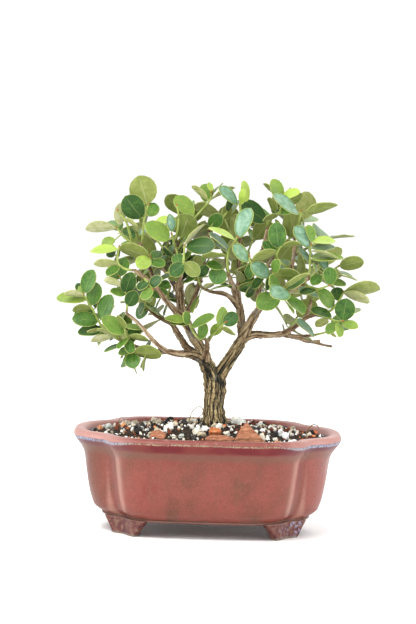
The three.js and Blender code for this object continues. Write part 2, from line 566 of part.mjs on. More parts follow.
function bedPoint(share, angle, z) {
  const inner = new THREE.Vector3(
    TRUNK_X + TRUNK_HOLE_RADIUS * Math.cos(angle), TRUNK_HOLE_RADIUS * Math.sin(angle), z,
  );
  return inner.lerp(planPoint(angle, BED_HALF_WIDTH, z), share);
}

// The number of a bed corner from an even turn, and its true direction
function bedSide(turn) {
  return Math.round((turn / (2 * Math.PI)) * BED_ANGLES.length);
}

function bedAngle(side) {
  return THREE.MathUtils.degToRad(BED_ANGLES[side]);
}

function makeSoil() {
  const bottom = FLOOR_TOP + GAP;
  const holeBottom = TRUNK_BOTTOM - GAP;
  const wall = [[77.5, bottom], [82.1, 22.4]];
  const rings = [
    () => new THREE.Vector3(TRUNK_X, 0, bottom),
    ...wall.map(([halfWidth, z]) => (angle) => planPoint(angle, halfWidth, z)),
    ...BED_SHARES.map((share) => (angle) => bedPoint(share, angle, moundHeight(share) - GRAVEL_DEPTH)),
    (angle) => bedPoint(0, angle, holeBottom),
    () => new THREE.Vector3(TRUNK_X, 0, holeBottom),
  ];
  let soil = skin(rings.length, BED_ANGLES.length, (ring, turn) => rings[ring](bedAngle(bedSide(turn))));
  const recess = SCREEN_SIDE + 2 * GAP;
  for (const side of [-1, 1]) {
    const box = new THREE.BoxGeometry(recess, recess, 2 * (SCREEN_THICKNESS + GAP));
    box.translate(side * DRAIN_HOLE_X, 0, bottom);
    soil = soil.subtract(solidOf(box));
  }
  return soil;
}

// Loose stones over the soil, as one rough layer with larger stones standing out of it
function makeGravel(chips) {
  const draw = drawsFrom(SEED);
  const shares = [1, 0.88, 0.7, 0.52, 0.34, 0.16, 0];
  const jolts = shares.map(() => BED_ANGLES.map(() => [draw(), draw(), draw()]));
  const underside = [...BED_SHARES].reverse();
  const place = (ring, turn) => {
    const angle = bedAngle(bedSide(turn));
    if (ring < underside.length || ring === shares.length + underside.length) {
      const share = underside[ring] ?? 0;
      return bedPoint(share, angle, moundHeight(share) - GRAVEL_DEPTH + GAP);
    }
    const row = ring - underside.length;
    const [swing, reach, lift] = jolts[row][bedSide(turn)];
    const loose = row > 0 && row < shares.length - 1;
    const share = shares[row] + (loose ? (reach - 0.5) * 0.05 : 0);
    const around = angle + (loose ? (swing - 0.5) * 0.1 : 0);
    return bedPoint(share, around, moundHeight(share) + (loose ? lift * 2.8 - 0.9 : -0.8));
  };
  let gravel = skin(shares.length + underside.length + 1, BED_ANGLES.length, place);
  for (let stone = 0; stone < 6; stone += 1) {
    const size = 2.6 + 1.8 * draw();
    const lump = new THREE.IcosahedronGeometry(size);
    lump.scale(1.15, 0.9, 0.75);
    lump.rotateZ(draw() * Math.PI);
    const share = 0.22 + 0.6 * draw();
    const seat = bedPoint(share, draw() * 2 * Math.PI, moundHeight(share) + 0.6);
    lump.translate(seat.x, seat.y, seat.z);
    gravel = gravel.add(solidOf(lump));
  }
  return chips.reduce((rest, chip) => rest.subtract(chip.make(GAP)), gravel);
}

// Bits of pine bark and a fired-clay stone that lie on the gravel near the front
const CHIPS = [
  { name: 'bark_chip_large', outline: [[-10, -5], [10, -5], [3, 2.5], [-1.5, 8.5], [-5, 3]], thickness: 2.6,
    at: [32, -50, 77.5], tilt: 58, turn: 6, colour: COLOURS.chip },
  { name: 'bark_chip_flat', outline: [[-11, -3], [-4, -5], [9, -3.5], [11, 1], [2, 4.5], [-8, 3]],
    thickness: 2.2, at: [9, -54, 76.8], tilt: 16, turn: -4, colour: COLOURS.chip },
  { name: 'bark_chip_left', outline: [[-6, -4], [5, -4.5], [6, 1], [0, 5], [-5, 3]], thickness: 2.2,
    at: [-37, -47, 77.2], tilt: 42, turn: -10, colour: COLOURS.chip },
  { name: 'clay_stone', outline: [[-4, -3], [3.5, -3.5], [5, 1], [1, 4], [-3.5, 3]], thickness: 4.2,
    at: [5, -40, 79.6], tilt: 24, turn: 12, colour: COLOURS.orangeStone },
];

for (const chip of CHIPS) {
  chip.make = (grow) => {
    const spread = 1 + grow / 4.2;
    const corners = chip.outline.map(([x, y]) => new THREE.Vector2(x * spread, y * spread));
    const slab = new THREE.ExtrudeGeometry(new THREE.Shape(corners), {
      depth: chip.thickness + 2 * grow, bevelEnabled: false,
    });
    slab.translate(0, 0, -chip.thickness / 2 - grow);
    slab.rotateX(THREE.MathUtils.degToRad(chip.tilt));
    slab.rotateZ(THREE.MathUtils.degToRad(chip.turn));
    slab.translate(...chip.at);
    return solidOf(slab);
  };
}

// A point of the tree's tables, turned with the whole tree about the foot of the trunk, to the left
function leaned(x, y, z) {
  const point = new THREE.Vector3(x - TRUNK_X, y, z - TRUNK_FOOT);
  point.applyAxisAngle(new THREE.Vector3(0, 1, 0), THREE.MathUtils.degToRad(-TREE_LEAN));
  return point.add(new THREE.Vector3(TRUNK_X, 0, TRUNK_FOOT));
}

// A line of points with a radius at each, read as a smooth curve
class Limb {
  constructor(places, radii) {
    this.curve = new THREE.CatmullRomCurve3(places, false, 'catmullrom');
    this.radii = radii;
  }

  radiusAt(t) {
    const place = t * (this.radii.length - 1);
    const before = Math.min(Math.floor(place), this.radii.length - 2);
    return THREE.MathUtils.lerp(this.radii[before], this.radii[before + 1], place - before);
  }

  // Points every 1.5 mm or so along the limb, for keeping the leaves clear of it
  beads() {
    const count = Math.ceil(this.curve.getLength() / 1.5);
    return Array.from({ length: count + 1 }, (_, i) => ({
      at: this.curve.getPoint(i / count), radius: this.radiusAt(i / count),
    }));
  }
}

// A tapered tube along a curve with a flat start and a blunt tip; ridge(angle, t) multiplies the radius
function tube(limb, sides, rings, ridge = () => 1) {
  const frames = limb.curve.computeFrenetFrames(rings, false);
  return skin(rings + 3, sides, (ring, angle) => {
    const step = THREE.MathUtils.clamp(ring - 1, 0, rings);
    const t = step / rings;
    const centre = limb.curve.getPointAt(t);
    if (ring === 0) {
      return centre;
    }
    if (ring === rings + 2) {
      return centre.addScaledVector(frames.tangents[step], TIP_BLUNTNESS * limb.radii.at(-1));
    }
    const reach = limb.radiusAt(limb.curve.getUtoTmapping(t)) * ridge(angle, t);
    centre.addScaledVector(frames.normals[step], reach * Math.cos(angle));
    return centre.addScaledVector(frames.binormals[step], reach * Math.sin(angle));
  });
}

const limbs = Object.fromEntries(Object.entries(LIMBS).map(([name, points]) => [name, new Limb(
  points.map(([x, y, z]) => leaned(x, y, z)), points.map((point) => point[3]),
)]));

function makeWood() {
  const draw = drawsFrom(SEED + 1);
  const pieces = Object.values(limbs).map((limb) => {
    const widest = Math.max(...limb.radii);
    const sides = widest > 5 ? 12 : widest > 3.2 ? 6 : 4;
    const spacing = widest > 5 ? 9 : widest > 3.2 ? 11 : 15;
    const rings = Math.max(2, Math.round(limb.curve.getLength() / spacing));
    if (widest <= 3.2) {
      return tube(limb, sides, rings);
    }
    const depth = widest > 5 ? 0.09 : 0.06;
    const waves = Array.from({ length: rings + 1 }, () => draw() * 0.08 - 0.04);
    return tube(limb, sides, rings, (angle, t) => {
      const furrow = Math.cos((angle * sides) / 2) * depth;
      return 1 + furrow + waves[Math.round(t * rings)];
    });
  });
  return joined(pieces);
}

// A leaf blade: an egg-shaped plate, folded up a little along its midrib and arched down to its tip
class Blade {
  constructor(foot, along, face, length, width) {
    this.foot = foot;
    this.along = along.clone().normalize();
    this.across = new THREE.Vector3().crossVectors(face, this.along).normalize();
    this.face = new THREE.Vector3().crossVectors(this.along, this.across).normalize();
    this.length = length;
    this.width = width;
  }

  halfWidth(t) {
    const share = Math.min(Math.max(t, 0), 1) ** 1.15;
    return this.width * Math.sqrt(share * (1 - share));
  }

  // Height of the blade's middle surface over its flat frame, at t along and c millimetres across
  rise(t, c) {
    return BLADE_FOLD * Math.abs(c) - BLADE_ARCH * this.length * t * t;
  }

  point(t, side, lift) {
    const c = side * this.halfWidth(t);
    const point = this.foot.clone().addScaledVector(this.along, t * this.length);
    point.addScaledVector(this.across, c);
    return point.addScaledVector(this.face, this.rise(t, c) + lift);
  }

  turned(axis, degrees) {
    const angle = THREE.MathUtils.degToRad(degrees);
    const along = this.along.clone().applyAxisAngle(axis, angle);
    const face = this.face.clone().applyAxisAngle(axis, angle);
    return new Blade(this.foot, along, face, this.length, this.width);
  }

  shrunk(share) {
    return new Blade(this.foot, this.along, this.face, this.length * share, this.width * share);
  }

  middle() {
    return this.point(0.5, 0, 0);
  }

  // Points round the edge, down the midrib and over the widest place
  netPoints() {
    const rim = [];
    const stations = [0, 0.1, 0.22, 0.38, 0.55, 0.72, 0.87, 1];
    stations.forEach((t) => rim.push(this.point(t, 1, 0)));
    stations.slice(1, -1).reverse().forEach((t) => rim.push(this.point(t, -1, 0)));
    rim.push(this.point(0, 0, 0));
    const rib = stations.map((t) => this.point(t, 0, 0));
    const bars = [0.3, 0.6, 0.8].map((t) => [1, 0.5, 0, -0.5, -1].map((side) => this.point(t, side, 0)));
    return [rim, rib, ...bars];
  }

  // Where a point lies against the blade: over its outline or not, and how far from its middle surface
  against(point, margin) {
    const offset = point.clone().sub(this.foot);
    const t = offset.dot(this.along) / this.length;
    const c = offset.dot(this.across);
    const over = t > -margin / this.length && t < 1 + margin / this.length
      && Math.abs(c) < this.halfWidth(t) + margin;
    return { over, away: offset.dot(this.face) - this.rise(Math.min(Math.max(t, 0), 1), c) };
  }

  // True if a chain of points comes nearer to the blade than the clearance, or goes through it
  isMetBy(chain, clearance, margin) {
    let last = null;
    for (const point of chain) {
      const now = this.against(point, margin);
      if (now.over && Math.abs(now.away) < clearance) {
        return true;
      }
      if (last && now.over && last.over && last.away * now.away < 0) {
        return true;
      }
      last = now;
    }
    return false;
  }

  // The blade and its stalk as one plate, with the stalk's end at the given point inside the shoot
  solid(stalkEnd) {
    const half = BLADE_THICKNESS / 2;
    const ahead = this.foot.clone().sub(stalkEnd);
    if (ahead.length() < 0.5) {
      ahead.copy(this.along);
    }
    ahead.normalize();
    const aside = this.across.clone().addScaledVector(ahead, -this.across.dot(ahead));
    if (aside.length() < 0.3) {
      aside.copy(this.along).addScaledVector(ahead, -this.along.dot(ahead));
    }
    aside.normalize();
    const above = new THREE.Vector3().crossVectors(ahead, aside);
    above.multiplyScalar(STALK_HALF_DEPTH * Math.sign(above.dot(this.face) || 1));
    const stalk = (side, layer) => stalkEnd.clone().addScaledVector(aside, side * STALK_HALF_WIDTH)
      .addScaledVector(above, layer);
    const stations = this.length < PLAIN_LEAF_LENGTH ? [0.36, 0.8] : [0.2, 0.55, 0.87];
    const outline = stations.map((t) => [t, 1]).concat([[1, 0]], stations.map((t) => [t, -1]).reverse());
    const ends = outline.length + 2;
    const corners = [stalk(-1, 1), stalk(1, 1)];
    outline.forEach(([t, side]) => corners.push(this.point(t, side, half)));
    corners.push(this.point(0.5, 0, half));
    // The stalk has three sides, so both of its corners meet the same one below
    const below = corners.length;
    corners.push(stalk(0, -1));
    outline.forEach(([t, side]) => corners.push(this.point(t, side, -half)));
    corners.push(this.point(0.5, 0, -half));
    const under = (i) => below + Math.max(0, i - 1);
    const faces = [];
    for (let i = 0; i < ends; i += 1) {
      const next = (i + 1) % ends;
      faces.push(ends, next, i);
      if (i === 0) {
        faces.push(0, 1, below);
      } else {
        faces.push(corners.length - 1, under(i), under(next));
        faces.push(i, next, under(next), i, under(next), under(i));
      }
    }
    const geometry = new THREE.BufferGeometry().setFromPoints(corners);
    geometry.setIndex(faces);
    return solidOf(geometry);
  }
}

const UP = new THREE.Vector3(0, 0, 1);
const TO_VIEWER = new THREE.Vector3(0, -1, 0);
const SHOWS_UNDERSIDE = 'op';

// The blade of a leaf as the front view shows it: a blade that looks too slim is rolled, not narrow,
// and one that looks too short points more toward or away from the viewer
function shownBlade([footX, footY, footZ, tipX, tipY, tipZ, shownWidth, look]) {
  const foot = leaned(footX, footY, footZ);
  const reach = leaned(tipX, tipY, tipZ).sub(foot);
  if (reach.length() < LEAST_LEAF_LENGTH) {
    const depth = Math.sqrt(LEAST_LEAF_LENGTH ** 2 - reach.x ** 2 - reach.z ** 2);
    reach.y = reach.y > 0 ? depth : -depth;
  }
  const length = reach.length();
  const along = reach.normalize();
  const width = Math.max(shownWidth, LEAST_WIDTH_SHARE * length);
  const roll = Math.acos(Math.min(1, shownWidth / width));
  const flat = TO_VIEWER.clone().addScaledVector(along, -TO_VIEWER.dot(along)).normalize();
  const under = SHOWS_UNDERSIDE.includes(look);
  const choices = [roll, -roll].map((angle) => flat.clone().applyAxisAngle(along, angle));
  choices.sort((first, second) => (under ? first.z - second.z : second.z - first.z));
  const shown = choices[0];
  return new Blade(foot, along, under ? shown.negate() : shown, length, width);
}

// The blades of a pair by rule: they lean out from the shoot and face up and away from the tree
function pairedBlades(shoot, t, spin, size, lean) {
  const place = shoot.curve.getPoint(t);
  const ahead = shoot.curve.getTangent(t);
  const level = new THREE.Vector3().crossVectors(ahead, UP).normalize();
  const outward = new THREE.Vector3(place.x - TRUNK_X, place.y, 0).normalize();
  const light = outward.multiplyScalar(0.6).add(UP.clone().multiplyScalar(0.8));
  return [0, 180].map((half) => {
    const aside = level.clone().applyAxisAngle(ahead, THREE.MathUtils.degToRad(spin + half));
    const angle = THREE.MathUtils.degToRad(lean);
    const along = ahead.clone().multiplyScalar(Math.cos(angle)).addScaledVector(aside, Math.sin(angle));
    along.normalize();
    const foot = place.clone().addScaledVector(along, STALK_LENGTH);
    const face = light.clone().addScaledVector(along, -light.dot(along));
    return new Blade(foot, along, face, size, size * 0.76);
  });
}

// Everything that a new leaf has to stay clear of
const woodBeads = Object.values(limbs).flatMap((limb) => limb.beads());
const shootBeads = [];
const placedBlades = [];

function shootOf(points) {
  return new Limb(points.map(([x, y, z]) => leaned(x, y, z)), points.map((_, i) => (
    THREE.MathUtils.lerp(SHOOT_BASE_RADIUS, SHOOT_TIP_RADIUS, i / (points.length - 1))
  )));
}

// A shoot starts where its flat end first stands clear of the wood
function clearStart(shoot) {
  for (let step = 0; step <= 400; step += 1) {
    const t = step / 400;
    const at = shoot.curve.getPoint(t);
    const ahead = shoot.curve.getTangent(t);
    const room = Math.min(...woodBeads.map((bead) => {
      const away = at.clone().sub(bead.at);
      return away.length() - 0.9 * bead.radius - SHOOT_BASE_RADIUS * Math.sin(away.angleTo(ahead));
    }));
    if (room > GAP) {
      return t;
    }
  }
  return 1;
}

function isFree(blade, spray) {
  const net = blade.netPoints();
  const middle = blade.middle();
  for (const other of placedBlades) {
    if (middle.distanceTo(other.blade.middle()) > (blade.length + other.blade.length) / 2 + 4) {
      continue;
    }
    const clearance = other.spray === spray ? OWN_SPRAY_CLEARANCE : BLADE_CLEARANCE;
    const margin = other.spray === spray ? 0 : 0.9;
    if (net.some((chain) => other.blade.isMetBy(chain, clearance, margin))) {
      return false;
    }
    if (other.net.some((chain) => blade.isMetBy(chain, clearance, margin))) {
      return false;
    }
  }
  const beads = woodBeads.concat(shootBeads.filter((bead) => bead.spray !== spray));
  return !beads.some((bead) => {
    if (bead.at.distanceTo(middle) > blade.length / 2 + 9) {
      return false;
    }
    const { over, away } = blade.against(bead.at, bead.radius + 0.7);
    return over && Math.abs(away) < bead.radius + 0.9;
  });
}

// The first pose of the blade that is free: as drawn, then pitched, rolled and swung more and more
function bentClear(blade, spray) {
  for (const share of [1, 0.85, 0.7]) {
    const start = blade.shrunk(share);
    for (const degrees of [0, 9, 18, 27, 38, 50]) {
      for (const axis of [start.across, start.along, start.face]) {
        for (const sign of [1, -1]) {
          const trial = start.turned(axis, sign * degrees);
          if (isFree(trial, spray)) {
            return trial;
          }
        }
      }
    }
  }
  return null;
}

// The nearest point on the middle lines of the shoots' tubes
function nearestOn(shoots, point) {
  let best = null;
  for (const { line } of shoots) {
    for (let i = 1; i < line.length; i += 1) {
      const stretch = new THREE.Line3(line[i - 1], line[i]);
      const at = stretch.closestPointToPoint(point, true, new THREE.Vector3());
      if (!best || at.distanceTo(point) < best.distanceTo(point)) {
        best = at;
      }
    }
  }
  return best;
}

class Spray {
  constructor(name, stems) {
    this.name = name;
    this.shoots = stems.map((points, i) => {
      const shoot = shootOf(points);
      shoot.start = i === 0 ? clearStart(shoot) : 0;
      const length = shoot.curve.getLength() * (1 - shoot.start);
      shoot.rings = Math.max(2, Math.round(length / SHOOT_RING_SPACING));
      const steps = Array.from({ length: shoot.rings + 1 }, (_, ring) => (
        THREE.MathUtils.lerp(shoot.start, 1, ring / shoot.rings)
      ));
      shoot.clear = new Limb(steps.map((t) => shoot.curve.getPoint(t)), steps.map((t) => shoot.radiusAt(t)));
      shoot.line = shoot.clear.curve.getSpacedPoints(shoot.rings);
      shoot.line.at(-1).lerp(shoot.line.at(-2), TIP_ROOT_SHARE);
      return shoot;
    });
    this.leaves = [];
    for (const shoot of this.shoots) {
      shoot.beads().forEach((bead) => shootBeads.push({ ...bead, spray: this }));
    }
  }

  add(blade) {
    const placed = bentClear(blade, this);
    if (placed) {
      this.leaves.push(placed);
      placedBlades.push({ blade: placed, net: placed.netPoints(), spray: this });
      const from = nearestOn(this.shoots, placed.foot);
      for (const share of [0.35, 0.7, 1]) {
        const at = from.clone().lerp(placed.foot, share);
        shootBeads.push({ at, radius: STALK_HALF_WIDTH, spray: this });
      }
    }
  }

  solid() {
    const parts = this.shoots.map((shoot) => tube(shoot.clear, 4, shoot.rings));
    for (const blade of this.leaves) {
      const from = nearestOn(this.shoots, blade.foot);
      const off = blade.foot.clone().sub(from).setLength(STALK_ROOT);
      parts.push(blade.solid(from.add(off)));
    }
    return joined(parts);
  }
}

// Every spray's shoots are set before any leaf, so that the leaves keep clear of them
function growSprays() {
  const shown = Object.entries(SHOWN_SPRAYS).map(([name, { stems }]) => new Spray(name, stems));
  const paired = Object.entries(PAIRED_SPRAYS).map(([name, { stem }]) => new Spray(name, [stem]));
  for (const spray of shown) {
    SHOWN_SPRAYS[spray.name].leaves.forEach((row) => spray.add(shownBlade(row)));
  }
  const draw = drawsFrom(SEED + 2);
  for (const spray of paired) {
    const { pairs } = PAIRED_SPRAYS[spray.name];
    const [shoot] = spray.shoots;
    const firstSpin = draw() * 180;
    for (let pair = 0; pair < pairs; pair += 1) {
      const t = THREE.MathUtils.lerp(shoot.start + 0.12, 0.98, pair / (pairs - 1));
      const size = 19 + 6 * draw();
      const lean = pair === pairs - 1 ? 40 : 62;
      pairedBlades(shoot, t, firstSpin + 90 * pair, size, lean).forEach((blade) => spray.add(blade));
    }
  }
  return shown.concat(paired);
}

const bonsai = new THREE.Group();

function addPiece(name, solid, colour, roughness) {
  const mesh = new THREE.Mesh(geometryOf(solid.simplify(LEAST_DETAIL)), paint(colour, roughness));
  mesh.name = name;
  bonsai.add(mesh);
  return mesh;
}

addPiece('pot', makePot(), COLOURS.glaze, 0.35);
addPiece('soil', makeSoil(), COLOURS.soil, 1);
addPiece('gravel', makeGravel(CHIPS), COLOURS.gravel, 0.95);
for (const chip of CHIPS) {
  addPiece(chip.name, chip.make(0), chip.colour, 0.9);
}
for (const [name, side] of [['drain_screen_left', -1], ['drain_screen_right', 1]]) {
  const screen = addPiece(name, makeScreen(), COLOURS.screen, 0.7);
  screen.position.set(side * DRAIN_HOLE_X, 0, FLOOR_TOP + GAP + SCREEN_THICKNESS / 2);
}
addPiece('trunk_and_branches', makeWood(), COLOURS.bark, 0.95);
growSprays().forEach((spray, i) => {
  const colour = new THREE.Color(COLOURS.leafDark).lerp(new THREE.Color(COLOURS.leafLight), (i % 5) / 4);
  addPiece(`spray_${spray.name}`, spray.solid(), colour, 0.5);
});

// The origin is on the ground under the middle of the whole plant and pot
const box = new THREE.Box3().setFromObject(bonsai);
const middle = box.getCenter(new THREE.Vector3());
bonsai.children.forEach((mesh) => {
  mesh.position.x -= middle.x;
  mesh.position.y -= middle.y;
});

export default bonsai;
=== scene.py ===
"""A natal plum bonsai in its glazed pot, dressed over its solids.

Pieces are shaped in millimetres about the middle of the pot, and settle() then brings them to metres in
the row's frame. -Y is the side that faces the viewer.
"""

import logging
import math
from dataclasses import dataclass, field
from enum import Enum
from typing import Callable

import bpy
import numpy as np
from mathutils import Matrix, Quaternion, Vector, noise


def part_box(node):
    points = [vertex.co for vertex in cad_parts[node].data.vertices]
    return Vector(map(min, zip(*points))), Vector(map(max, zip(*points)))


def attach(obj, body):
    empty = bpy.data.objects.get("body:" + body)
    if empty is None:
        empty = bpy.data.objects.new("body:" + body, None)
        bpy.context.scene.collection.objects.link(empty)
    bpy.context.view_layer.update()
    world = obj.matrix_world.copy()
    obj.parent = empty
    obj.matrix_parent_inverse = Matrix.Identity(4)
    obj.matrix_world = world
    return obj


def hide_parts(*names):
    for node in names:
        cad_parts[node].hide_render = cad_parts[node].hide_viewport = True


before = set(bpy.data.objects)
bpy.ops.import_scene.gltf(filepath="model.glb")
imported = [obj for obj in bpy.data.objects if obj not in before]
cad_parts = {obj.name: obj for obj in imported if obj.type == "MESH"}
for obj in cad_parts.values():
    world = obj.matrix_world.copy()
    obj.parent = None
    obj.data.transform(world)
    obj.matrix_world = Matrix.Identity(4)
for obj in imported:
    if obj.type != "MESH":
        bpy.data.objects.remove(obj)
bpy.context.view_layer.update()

log = logging.getLogger("bonsai")

Piece = bpy.types.Object
Finish = bpy.types.Material
Socket = bpy.types.NodeSocket

MM = 0.001

# Driving sizes, shared with the solids
POT_HALF_WIDTH = 101.5
POT_HALF_DEPTH = 76.5
POT_HEIGHT = 77.0
FOOT_HEIGHT = 11.5
FLOOR_TOP = 17.5
LONG_LOBE_HALF_WIDTH = 78.0
SIDE_LOBE_HALF_DEPTH = 56.0
FOOT_PLACE = (61.5, 37.0)
DRAIN_HOLE_RADIUS = 8.0
DRAIN_HOLE_X = 38.0
SOIL_EDGE_HEIGHT = 72.0
SOIL_MOUND = 9.0
TRUNK_X = 5.0
TRUNK_HOLE_RADIUS = 9.4
TRUNK_FOOT = 78.0
TREE_LEAN = 1.6
BLADE_THICKNESS = 0.7
BLADE_ARCH = 0.1
BLADE_FOLD = 0.16
LEAST_WIDTH_SHARE = 0.68
LEAST_LEAF_LENGTH = 13.0
STALK_LENGTH = 2.6
SHOOT_BASE_RADIUS = 1.15
SHOOT_TIP_RADIUS = 0.95
GAP = 0.3
SEED = 20

# Squareness of the pot's two pairs of lobes, as in the solids, and of its notches, which are softer here
LONG_LOBE_SQUARENESS = 4.5
SIDE_LOBE_SQUARENESS = 2.8
NOTCH_SHARPNESS = 30
# What each ring of the pot is narrower across than along, on each side of its middle
NARROWER = POT_HALF_WIDTH - POT_HALF_DEPTH

# Colours are written as they show; the studio's light brightens them, and shade makes up for that
LIGHT_SHARE = 0.61
LEAF_SHARE = 0.69
STONE_SHARE = 0.97
CHIP_SHARE = 0.85

# How many points a smooth line is measured with, and how far apart its beads lie
LINE_POINTS = 201
BEAD_STEP = 1.5

UP = np.array([0.0, 0.0, 1.0])
TO_VIEWER = np.array([0.0, -1.0, 0.0])
# Nearly upright, so that it never lies along a shoot
NEARLY_UP = (0.13, 0.2, 1.0)

# The small leaves: how far apart along a shoot and how often they are tried, the room that they and a young
# leaf at a tip need, and the height from which the crown is filled, which falls toward the left edge
FILL_STEP = 4.0
FILL_TRIES = 8
SMALL_GAP = 2.6
TIP_GAP = 1.6
FULL_CROWN = 182.0
LEFT_EDGE = -28.0
LEFT_SLOPE = 2.6

# The woody limbs: each point is x, y, z and the radius there, in millimetres
LIMBS = {
    "trunk": (
        (5, 0, 58, 4.5), (5, 0, 69, 7), (5, 0, 80, 8.5), (4.5, 0, 88, 7.6), (4.5, 0, 97, 7.1),
        (5.5, 0, 106, 7.2), (5.5, 0, 113, 7),
    ),
    "leftFork": (
        (4, 0, 108, 5.8), (2.5, -1, 118, 5.5), (-1, -2, 126.5, 5.2), (-5, -3, 132, 4.3),
    ),
    "lowLeft": (
        (-4, -3, 131, 4), (-13, -8, 135, 3.3), (-21, -14, 136, 2.4), (-29, -20, 138, 2.1),
        (-33, -24, 140, 1.8), (-38.5, -28, 145, 1.5), (-44, -29, 151, 1.4), (-49, -28, 157, 1.3),
        (-55, -27, 163, 1.2), (-61, -26, 167.5, 1.1),
    ),
    "lowOuter": (
        (-30.5, -19, 138, 2), (-39.5, -20, 138.5, 1.7), (-48.5, -18, 140, 1.5), (-57, -15, 142.5, 1.3),
        (-64.5, -12, 145, 1.2),
    ),
    "midLeft": (
        (-7, -3, 133, 3.5), (-15, 1, 138, 2.7), (-19.5, 4, 144, 2.4), (-24, 8, 151, 2.1),
        (-27.5, 11, 156, 1.8), (-35, 14, 159.5, 1.3), (-41, 16, 163, 1.2), (-46.5, 18, 169, 1.1),
    ),
    "leftLeader": (
        (-0.5, -2, 128, 4), (-5, -4, 139, 3.7), (-11, -6, 148, 3.5), (-15.5, -6, 157, 3.4),
        (-19.5, -4, 165, 3.3), (-21, -2, 175, 3.1), (-21.5, 0, 184.5, 2.7), (-21.5, 2, 193.5, 2.3),
        (-23, 2, 206.5, 1.7), (-25, 0, 219, 1.2),
    ),
    "leftArm": (
        (-20, -5, 164, 2.7), (-25, -10, 168.5, 2.3), (-31, -18, 176, 1.9), (-36.5, -24, 184, 1.7),
        (-41.5, -28, 190.5, 1.5), (-48, -32, 195.5, 1.3), (-54, -34, 200.5, 1.1),
    ),
    "leftTop": (
        (-38.5, -26, 187, 1.5), (-42.5, -18, 197.5, 1.4), (-46.5, -10, 208, 1.2), (-51, -5, 218, 1.1),
    ),
    "leftInner": (
        (-18.5, -4, 163, 2.5), (-13.5, 2, 170, 2), (-9.5, 8, 178.5, 1.8), (-6.5, 13, 188, 1.6),
        (-4.5, 16, 196, 1.5), (-1.5, 15, 211.5, 1.3), (1, 8, 228, 1.1),
    ),
    "spur": (
        (-1.5, -4, 129.5, 2.8), (-1, -10, 137, 2.1), (-0.5, -16, 143, 1.7), (-1, -19, 147, 1.2),
    ),
    "rightFork": (
        (5.5, 0, 108, 5.6), (9, 1, 118.5, 4.8), (14.5, 2, 127, 4.5), (19.5, 3, 134.5, 4.3),
        (24, 4, 142, 4.1), (27.5, 4, 149, 3.7),
    ),
    "centre": (
        (26.5, 4, 146, 3.5), (25.5, 7, 154.5, 3), (25, 10, 162, 2.8), (24, 13, 169.5, 2.5),
        (23, 15, 175, 2.1), (23, 16, 182.5, 1.6), (23, 15, 197.5, 1.4), (24.5, 8, 214.5, 1.2),
        (23.5, 3, 229.5, 1.1),
    ),
    "centreLeft": (
        (24, 12, 168, 2.3), (17.5, 10, 176, 1.8), (11, 6, 180, 1.5), (3, 2, 181.5, 1.2),
        (-4.5, -4, 185, 1.1),
    ),
    "centreBack": (
        (23.5, 14, 171, 1.9), (19.5, 24, 179.5, 1.5), (16.5, 35, 189, 1.3), (14, 46, 200.5, 1.1),
    ),
    "centreFront": (
        (24, 13, 172, 1.8), (21.5, 2, 181.5, 1.5), (18, -14, 190.5, 1.3), (16, -26, 196, 1.1),
    ),
    "rightArm": (
        (26, 4, 147, 3.6), (31.5, 0, 157, 3), (35.5, -3, 164, 2.8), (40.5, -7, 171, 2.7),
        (47, -10, 175.5, 2.1), (53, -13, 179, 1.9), (60, -16, 183.5, 1.7), (67.5, -19, 187.5, 1.5),
        (75.5, -22, 193.5, 1.1),
    ),
    "rightTop": (
        (39.5, -6, 169.5, 2.6), (38.5, -2, 178.5, 2.1), (38, 2, 186.5, 2), (39, 6, 199, 1.5),
        (42, 8, 214.5, 1.3), (44.5, 10, 228, 1.1),
    ),
    "rightFront": (
        (38.5, 1, 184.5, 1.7), (38, -14, 193, 1.4), (39, -30, 200.5, 1.1),
    ),
    "rightBack": (
        (38.5, 3, 189.5, 1.6), (44.5, 20, 199, 1.4), (53, 34, 208.5, 1.2), (59, 43, 215, 1.1),
    ),
    "rightHigh": (
        (57.5, -15, 181.5, 1.6), (62, -14, 194.5, 1.4), (64.5, -12, 209.5, 1.2), (65.5, -11, 224.5, 1.1),
    ),
    "rightLow": (
        (25, 3, 145.5, 3.3), (34, 6, 148.5, 2.7), (41.5, 9, 148, 2.5), (50, 11, 148, 2.3),
        (58.5, 12, 148.5, 2.1),
    ),
    "rightLowUp": (
        (56, 12, 148.5, 2), (64.5, 9, 153, 1.7), (70, 5, 157.5, 1.5), (74, 0, 161.5, 1.4),
        (80, -6, 164.5, 1.3), (86.5, -10, 167, 1.1),
    ),
    "rightLowTwig": (
        (73, 2, 160.5, 1.2), (76.5, 5, 167, 1.1), (78, 6, 173.5, 1),
    ),
    "bareTwig": (
        (56.5, 12, 148.5, 1.9), (64.5, 11, 146.5, 1.4), (70.5, 8, 145, 1.2), (75, 6, 143.5, 1.2),
        (80, 3, 143, 1.1), (87, -1, 141.5, 0.9), (94, -5, 140.5, 0.8),
    ),
    "bareSpur": (
        (78, 4, 143, 0.9), (85, 1, 144.5, 0.8),
    ),
    "rightLowGreen": (
        (61.5, 11, 147.5, 1.2), (70.5, 4, 147.5, 1.1), (78.5, -6, 149, 1.1),
    ),
    "leftBack": (
        (-21.5, -1, 179, 1.9), (-27.5, 15, 189, 1.6), (-35.5, 29, 199, 1.3), (-42, 40, 207, 1.1),
    ),
    "leaderBack": (
        (-21.5, 1, 187.5, 1.8), (-18.5, 18, 197.5, 1.4), (-15.5, 33, 208.5, 1.2), (-13.5, 46, 217.5, 1.1),
    ),
    "leaderFront": (
        (-21.5, 0, 182, 1.8), (-20.5, -16, 191.5, 1.4), (-19.5, -32, 199.5, 1.1),
    ),
}

